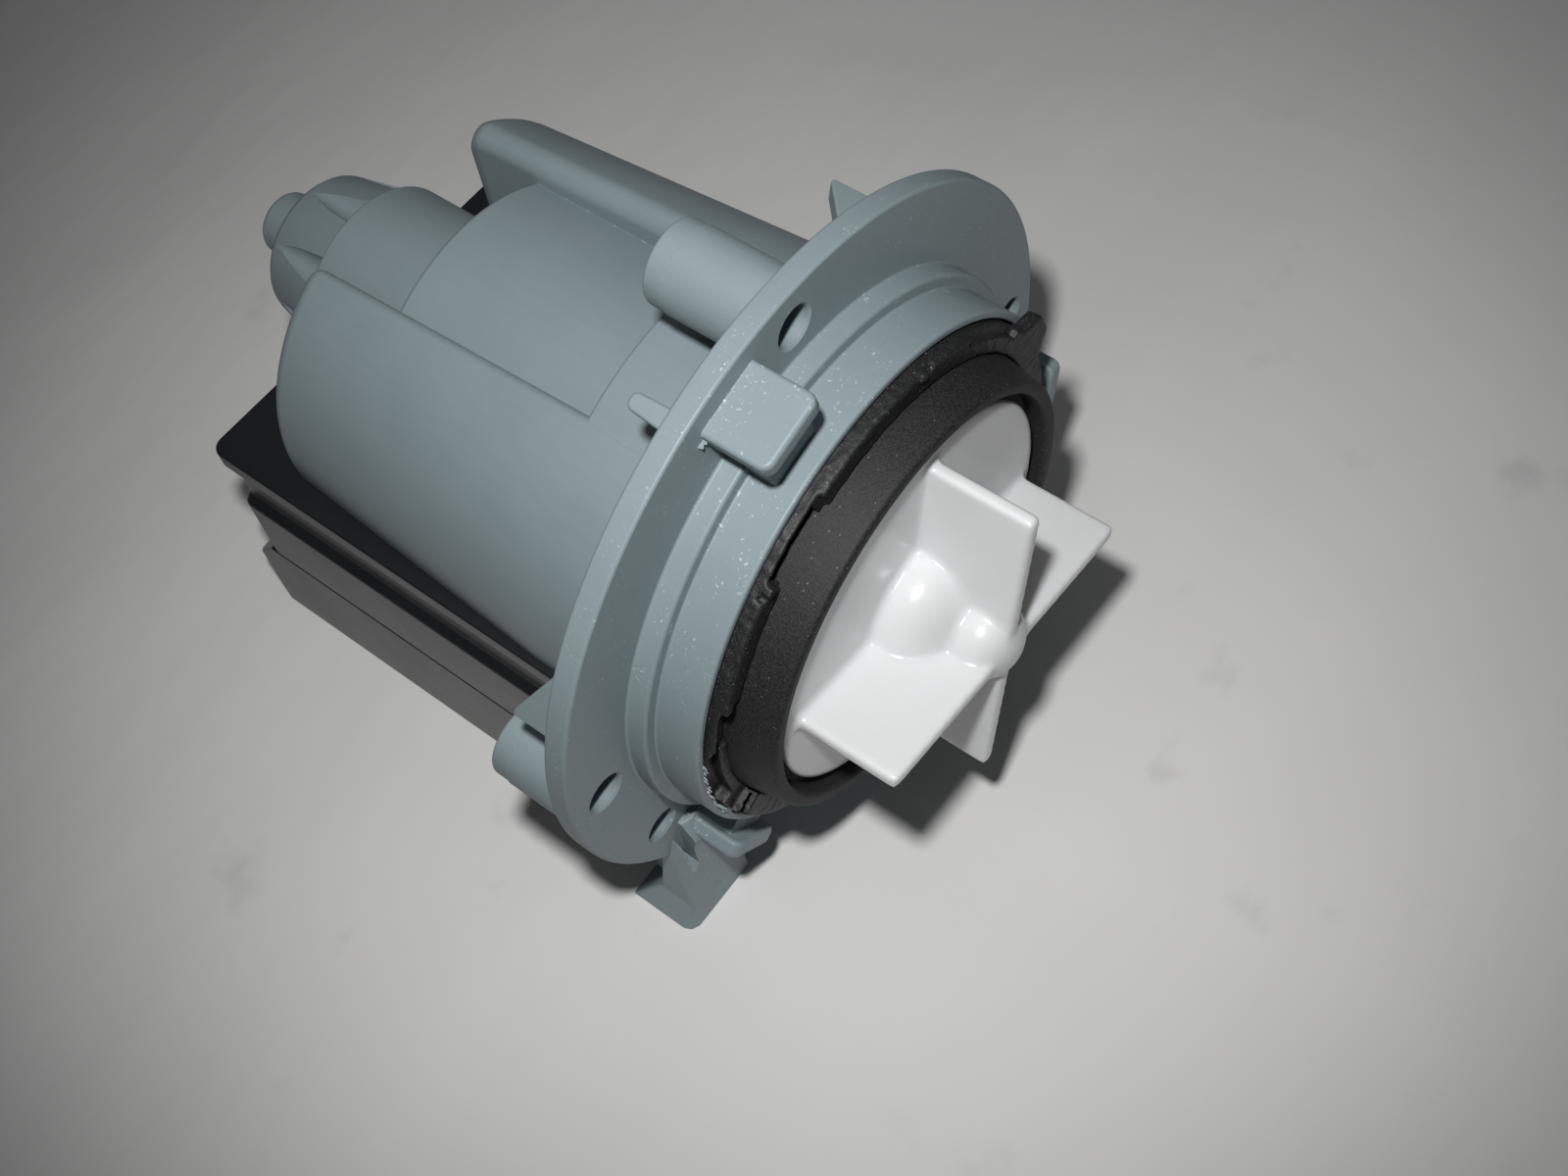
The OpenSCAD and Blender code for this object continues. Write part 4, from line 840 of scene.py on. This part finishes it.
cover = turned("front_cover_cup", eased([
    (cup_r, cup_floor_y, 0.5 * mm), (cup_r, lip_y, 0.55 * mm), (lip_r, lip_y, 0.75 * mm),
    (root_r, -collar_h - 0.2 * mm, 0), (root_r, rest_y, 0.3 * mm), (seat_r, rest_y, 0.2 * mm),
    (seat_r, -seat_h, 0), (pilot_r, -seat_h, 0), (pilot_r, ring_front, 0),
    (groove_r, ring_front, 0), (groove_r, ring_rear, 0), (pilot_r, ring_rear, 0),
    (pilot_r, pilot_y, 0.2 * mm), (pilot_in_r, pilot_y, 0.2 * mm),
    (pilot_in_r, floor_back, 0.5 * mm), (well_r + floor_t, floor_back, 0.5 * mm),
    (well_r + floor_t, well_back, 0.3 * mm), (bearing_r + floor_t, well_back, 0.3 * mm),
    (bearing_r + floor_t, bush_end, 0.3 * mm), (bearing_r, bush_end, 0), (bearing_r, bush_y, 0),
    (seal_r, bush_y, 0), (seal_r, seal_end, 0), (bearing_r, seal_end, 0), (bearing_r, well_y, 0),
    (well_r, well_y, 0.3 * mm), (well_r, cup_floor_y, 0.4 * mm)]), 192, ring=True)

filled_plastic = Finish("glass_filled_black_plastic", IOR=1.5)
p = filled_plastic
cloud = p.noise(5 * mm, 4)
grain = p.noise(0.22 * mm, 5)
glass = 1 - p.cells(0.30 * mm).ramp(0.10, 0.30)
spark = 1 - p.cells(0.85 * mm).ramp(0.05, 0.13)
scrape = p.noise(0.7 * mm, 3, p.stretched((1, 0.25, 1))).ramp(0.60, 0.74)
scraped = scrape * cloud.ramp(0.5, 0.6)
rub = p.worn_edge(0.5 * mm).ramp(0.015, 0.2)
base = p.colour(grain.ramp(0.40, 0.62), (0.0060, 0.0062, 0.0064, 1),
                (0.023, 0.0234, 0.0238, 1))
pale = (glass * 0.10 * cloud.ramp(0.3, 0.65) + spark * cloud.ramp(0.35, 0.6) * 0.6
        + rub * 0.05 + scraped * 0.05)
p.wear(Base_Color=p.colour(pale, base, (0.34, 0.35, 0.35, 1)), Roughness=0.60 + grain * 0.14,
       Normal=p.bump(grain + glass * 0.5, 0.035 * mm))
finished(cover, filled_plastic.material)
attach(cover, "housing")
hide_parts("front_cover")


# Front gasket: a rubber ring that stands a little out of the collar round the cover, with an
# ear over the rim and a gap for the key. It was nicked and torn where it was pressed in.
gasket_in, gasket_out, gasket_y, gasket_rear = root_r, 33.0 * mm, -10.4 * mm, rest_y
ear_angle, ear_tip, ear_t = 25, 35.6 * mm, 1.9 * mm
ear_root, ear_neck = 31.5 * mm, 32.4 * mm


def ring_bite(start, end, inner, outer, front, rear):
    """Cutter that follows the ring between two angles, in degrees."""
    steps = max(2, round((end - start) / 3))
    angles = [math.radians(start + (end - start) * k / steps) for k in range(steps + 1)]
    line = [(inner, a) for a in angles] + [(outer, a) for a in reversed(angles)]
    return block("bite", [Vector((r * math.cos(a), front, r * math.sin(a))) for r, a in line],
                 Vector((0, rear - front, 0)))


gasket = turned("front_gasket_ring", eased([
    (gasket_in, gasket_y + 0.2 * mm, 0.2 * mm), (gasket_out - 0.3 * mm, gasket_y, 0.45 * mm),
    (gasket_out, gasket_rear, 0.1 * mm), (gasket_in, gasket_rear, 0.1 * mm)]), 180, ring=True)
ear = block("ear", [Vector((x, gasket_y, z)) for x, z in eased([
    (ear_root, -5 * mm, 0), (ear_neck, -4.6 * mm, 0.8 * mm), (ear_tip, -2.2 * mm, 1.7 * mm),
    (ear_tip, 2.2 * mm, 1.7 * mm), (ear_neck, 4.6 * mm, 0.8 * mm), (ear_root, 5 * mm, 0)], 5)],
    Vector((0, ear_t, 0)))
fused(gasket, settle(soft_edges(ear, 0.45 * mm, 3, 40), ear_angle))
inner_cut, outer_cut, ahead = gasket_in - mm, gasket_out + mm, gasket_y - mm
deep, shallow = gasket_rear + mm, gasket_y + 0.7 * mm
bites = [ring_bite(start, end, inner, outer, ahead, rear) for start, end, inner, outer, rear in (
    (197.5, 202.5, inner_cut, outer_cut, deep),
    (110.5, 126.5, inner_cut, 32.2 * mm, -7.2 * mm), (108, 127.5, inner_cut, outer_cut, shallow),
    (170.5, 193, 30.9 * mm, outer_cut, -7.3 * mm), (168, 197, inner_cut, outer_cut, -9.2 * mm),
    (157, 171, inner_cut, 32.1 * mm, -8.6 * mm), (155.5, 170, inner_cut, outer_cut, shallow),
    (58.6, 59.2, 31 * mm, outer_cut, -9 * mm), (36, 58.9, 31.6 * mm, outer_cut, -9.3 * mm),
    (72.5, 75, 31.9 * mm, outer_cut, shallow),
    (128.8, 130.4, 32.1 * mm, outer_cut, shallow + 0.3 * mm))]
fused(gasket, *bites, operation="DIFFERENCE")
for start, end, mid in ((127, 129, 32.2 * mm), (153.5, 156, 32.1 * mm), (75, 77, 32.2 * mm)):
    lump = ring_bite(start, end, mid - 0.6 * mm, mid + 0.6 * mm, gasket_y - 0.35 * mm,
                     gasket_y + 0.9 * mm)
    fused(gasket, soft_edges(lump, 0.2 * mm, 2))
modified(gasket, "REMESH", mode="VOXEL", voxel_size=0.24 * mm)
tear = bpy.data.textures.new("tear", "CLOUDS")
tear.noise_scale, tear.noise_depth = 0.9 * mm, 3
modified(gasket, "DISPLACE", texture=tear, texture_coords="LOCAL", strength=0.30 * mm,
         mid_level=0.55)
modified(gasket, "SMOOTH", factor=0.4, iterations=2)

gasket_rubber = Finish("speckled_rubber", IOR=1.5)
p = gasket_rubber
cloud = p.noise(4 * mm, 4)
grain = p.noise(0.22 * mm, 5)
crumb = 1 - p.cells(0.28 * mm).ramp(0.10, 0.30)
spark = 1 - p.cells(0.75 * mm).ramp(0.05, 0.14)
base = p.colour(grain.ramp(0.36, 0.68), (0.0070, 0.0074, 0.0076, 1),
                (0.022, 0.0228, 0.0232, 1))
pale = crumb * 0.15 * cloud.ramp(0.3, 0.65) + spark * cloud.ramp(0.38, 0.6) * 0.7
p.wear(Base_Color=p.colour(pale, base, (0.40, 0.41, 0.41, 1)), Roughness=0.47 + cloud * 0.16,
       Normal=p.bump(grain + crumb * 0.6, 0.04 * mm))
finished(gasket, gasket_rubber.material, 60)
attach(gasket, "housing")
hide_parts("front_gasket")


# Impeller: a disc with four flat blades round a waisted hub, and behind the disc the skirt of
# its coupling. It is moulded in one piece of milky white plastic with softened edges.
disc_r, disc_y, disc_t = 25.3 * mm, -13.8 * mm, 1.2 * mm
blade_r, blade_y, blade_t, blade_angle = 23.1 * mm, -27.3 * mm, 1.9 * mm, 80
skirt_r, skirt_in, skirt_end = 8.8 * mm, 7.4 * mm, -5.2 * mm
shaft_way_r, shaft_way_y = 2.04 * mm, -17.4 * mm
coupling_key_r, coupling_key_in, coupling_key_end = 8.1 * mm, 4.35 * mm, -5.45 * mm
dome_mid, dome_r, dome_l = disc_y - 1.9 * mm, 9.6 * mm, 6.8 * mm
nose_mid, nose_r, nose_l = disc_y - 9.7 * mm, 5.3 * mm, 4.8 * mm
melt, hub_steps = 11, 60

disc_rear, disc_mid, nose_tip = disc_y + disc_t, disc_y + disc_t / 2, nose_mid - nose_l
hub = []
for k in range(hub_steps - 1):
    y = disc_y + (nose_tip - disc_y) * math.sin(k * math.pi / 2 / (hub_steps - 1))
    domed = dome_r * math.sqrt(max(0, 1 - ((y - dome_mid) / dome_l) ** 2))
    nosed = nose_r * math.sqrt(max(0, 1 - ((y - nose_mid) / nose_l) ** 2))
    hub.append(((domed ** melt + nosed ** melt) ** (1 / melt), y))
impeller = turned("impeller_wheel", eased([
    (0, disc_rear, 0), (disc_r, disc_rear, 0.3 * mm), (disc_r, disc_y, 0.35 * mm)])
    + hub + [(0, nose_tip)])
for quarter in range(4):
    blade = block("blade", [Vector((x, y, -blade_t / 2)) for x, y in eased([
        (0, blade_y, 0), (blade_r, blade_y, 0.7 * mm), (blade_r, disc_mid, 0),
        (0, disc_mid, 0)])], Vector((0, 0, blade_t)))
    fused(impeller, settle(blade, blade_angle + 90 * quarter))
modified(impeller, "REMESH", mode="VOXEL", voxel_size=0.36 * mm)
modified(impeller, "SMOOTH", factor=0.5, iterations=9)
skirt = turned("skirt", eased([
    (skirt_in, disc_mid, 0), (skirt_in, skirt_end, 0.15 * mm), (skirt_r, skirt_end, 0.15 * mm),
    (skirt_r, disc_mid, 0)]), ring=True)
key_arc = [math.radians(blade_angle + 180 + k * 10) for k in range(-3, 4)]
key_line = [(coupling_key_r, a) for a in key_arc] + [(coupling_key_in, a) for a in key_arc[::-1]]
coupling_key = block("coupling_key", [
    Vector((r * math.cos(a), disc_mid, r * math.sin(a))) for r, a in key_line],
    Vector((0, coupling_key_end - disc_mid, 0)))
fused(impeller, skirt, coupling_key)
shaft_way = turned("shaft_way", [(0, shaft_way_y), (shaft_way_r, shaft_way_y),
                                 (shaft_way_r, disc_rear + mm), (0, disc_rear + mm)], 48)
fused(impeller, shaft_way, operation="DIFFERENCE")

milky = Finish("milky_white_plastic", IOR=1.5, Subsurface_Weight=0.5,
               Subsurface_Scale=2 * mm, Subsurface_Radius=(1.0, 0.95, 0.85))
p = milky
cloud = p.noise(7 * mm, 3)
flow = p.noise(1.1 * mm, 4, p.stretched((1, 0.3, 1)))
mark = 1 - p.cells(4.5 * mm).ramp(0.012, 0.035)
base = p.colour(cloud * 0.7 + flow * 0.3, (0.68, 0.69, 0.695, 1), (0.74, 0.75, 0.75, 1))
p.wear(Base_Color=p.colour(mark * 0.18, base, (0.42, 0.43, 0.43, 1)),
       Roughness=0.20 + flow * 0.08, Normal=p.bump(flow * 0.3 + cloud * 2, 0.02 * mm))
finished(impeller, milky.material, 60)
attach(impeller, "impeller")
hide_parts("impeller")


# Bearings and seals: o-rings, a shaft seal and bush mounts of moulded rubber, and two bushes of
# carbon that carry the shaft.
def dress(material, *names):
    """Gives CAD nodes a finish."""
    for name in names:
        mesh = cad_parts[name].data
        mesh.materials.clear()
        mesh.materials.append(material)


soft_black = Finish("moulded_rubber")
p = soft_black
bloom = p.noise(1.8 * mm, 4)
skin = p.noise(0.25 * mm, 3)
p.wear(Base_Color=p.colour(bloom, (0.014, 0.014, 0.015, 1), (0.034, 0.034, 0.036, 1)),
       Roughness=0.52 + bloom * 0.2, Normal=p.bump(skin, 0.03 * mm))
dress(soft_black.material, "can_o_ring", "cover_o_ring", "shaft_seal", "front_bush_mount",
      "rear_bush_mount", "dog_buffers")
carbon = Finish("carbon_bearing", Roughness=0.42, Metallic=0.15)
p = carbon
pore = 1 - p.cells(0.35 * mm).ramp(0.08, 0.25)
p.wear(Base_Color=p.colour(p.noise(1.2 * mm, 4) * 0.8 + pore * 0.2, (0.022, 0.022, 0.024, 1),
                           (0.085, 0.085, 0.09, 1)), Normal=p.bump(pore, 0.03 * mm))
dress(carbon.material, "front_bush", "rear_bush")


# Rotor: a ground steel shaft through a sintered ferrite magnet, held between moulded caps and
# spaced by steel thrust washers.
ground = Finish("ground_steel", Metallic=1.0)
p = ground
hone = p.noise(0.12 * mm, 3, p.stretched((0.3, 1, 0.3)))
p.wear(Base_Color=p.colour(p.noise(3 * mm, 2), (0.55, 0.56, 0.58, 1), (0.66, 0.67, 0.68, 1)),
       Roughness=0.16 + hone * 0.18, Normal=p.bump(hone, 0.008 * mm))
dress(ground.material, "rotor_shaft", "thrust_washer_front", "thrust_washer_rear")
ferrite = Finish("sintered_ferrite", Metallic=0.25)
p = ferrite
pit = 1 - p.cells(0.9 * mm).ramp(0.05, 0.18)
lathe = p.noise(0.4 * mm, 3, p.stretched((0.2, 1, 0.2)))
p.wear(Base_Color=p.colour(lathe * 0.7 + pit * 0.3, (0.030, 0.031, 0.034, 1),
                           (0.085, 0.086, 0.092, 1)),
       Roughness=0.42 + pit * 0.3, Normal=p.bump(lathe - pit, 0.04 * mm))
dress(ferrite.material, "magnet_rotor")
nylon = Finish("natural_nylon", Subsurface_Weight=0.2, Subsurface_Scale=0.6 * mm)
p = nylon
haze = p.noise(4 * mm, 3)
flow = p.noise(0.8 * mm, 4)
p.wear(Base_Color=p.colour(haze * 0.7 + flow * 0.3, (0.62, 0.60, 0.53, 1), (0.74, 0.72, 0.66, 1)),
       Roughness=0.36 + flow * 0.16, Normal=p.bump(flow, 0.03 * mm))
dress(nylon.material, "rotor_cap_front", "rotor_cap_rear", "drive_dog", "coil_bobbin_left",
      "coil_bobbin_right", "thermal_cutout")


# Stator: stacked and riveted sheets of electrical steel, with enamelled copper wire wound round
# each leg.
sheet_pitch, wire_pitch = 0.5 * mm, 0.28 * mm


def bands(finish, axis, pitch):
    """Even bands of the given pitch across one axis."""
    scale = math.pi / 10 / pitch
    return finish.node("ShaderNodeTexWave", {"wave_type": "BANDS", "bands_direction": axis},
                       {"Vector": finish.place, "Scale": scale, "Distortion": 0.0}, output="Fac")


sheets = Finish("laminated_steel", Metallic=0.85)
p = sheets
gap = bands(p, "Y", sheet_pitch)
rust = p.noise(2.2 * mm, 5).ramp(0.58, 0.75)
steel_tone = p.colour(gap, (0.10, 0.10, 0.11, 1), (0.36, 0.37, 0.39, 1))
p.wear(Base_Color=p.colour(rust * 0.6, steel_tone, (0.16, 0.075, 0.035, 1)),
       Roughness=0.38 + rust * 0.3, Normal=p.bump(gap, 0.05 * mm))
dress(sheets.material, "stator_core")
dress(plated.material, "core_rivets")
enamel = Finish("enamelled_copper_wire", Metallic=0.7, Coat_Weight=0.6, Coat_Roughness=0.15)
p = enamel
wire = bands(p, "Z", wire_pitch)
p.wear(Base_Color=p.colour(wire, (0.16, 0.045, 0.015, 1), (0.62, 0.27, 0.10, 1)),
       Roughness=0.26 + wire * 0.08, Normal=p.bump(wire, 0.12 * mm))
dress(enamel.material, "coil_winding_left", "coil_winding_right")
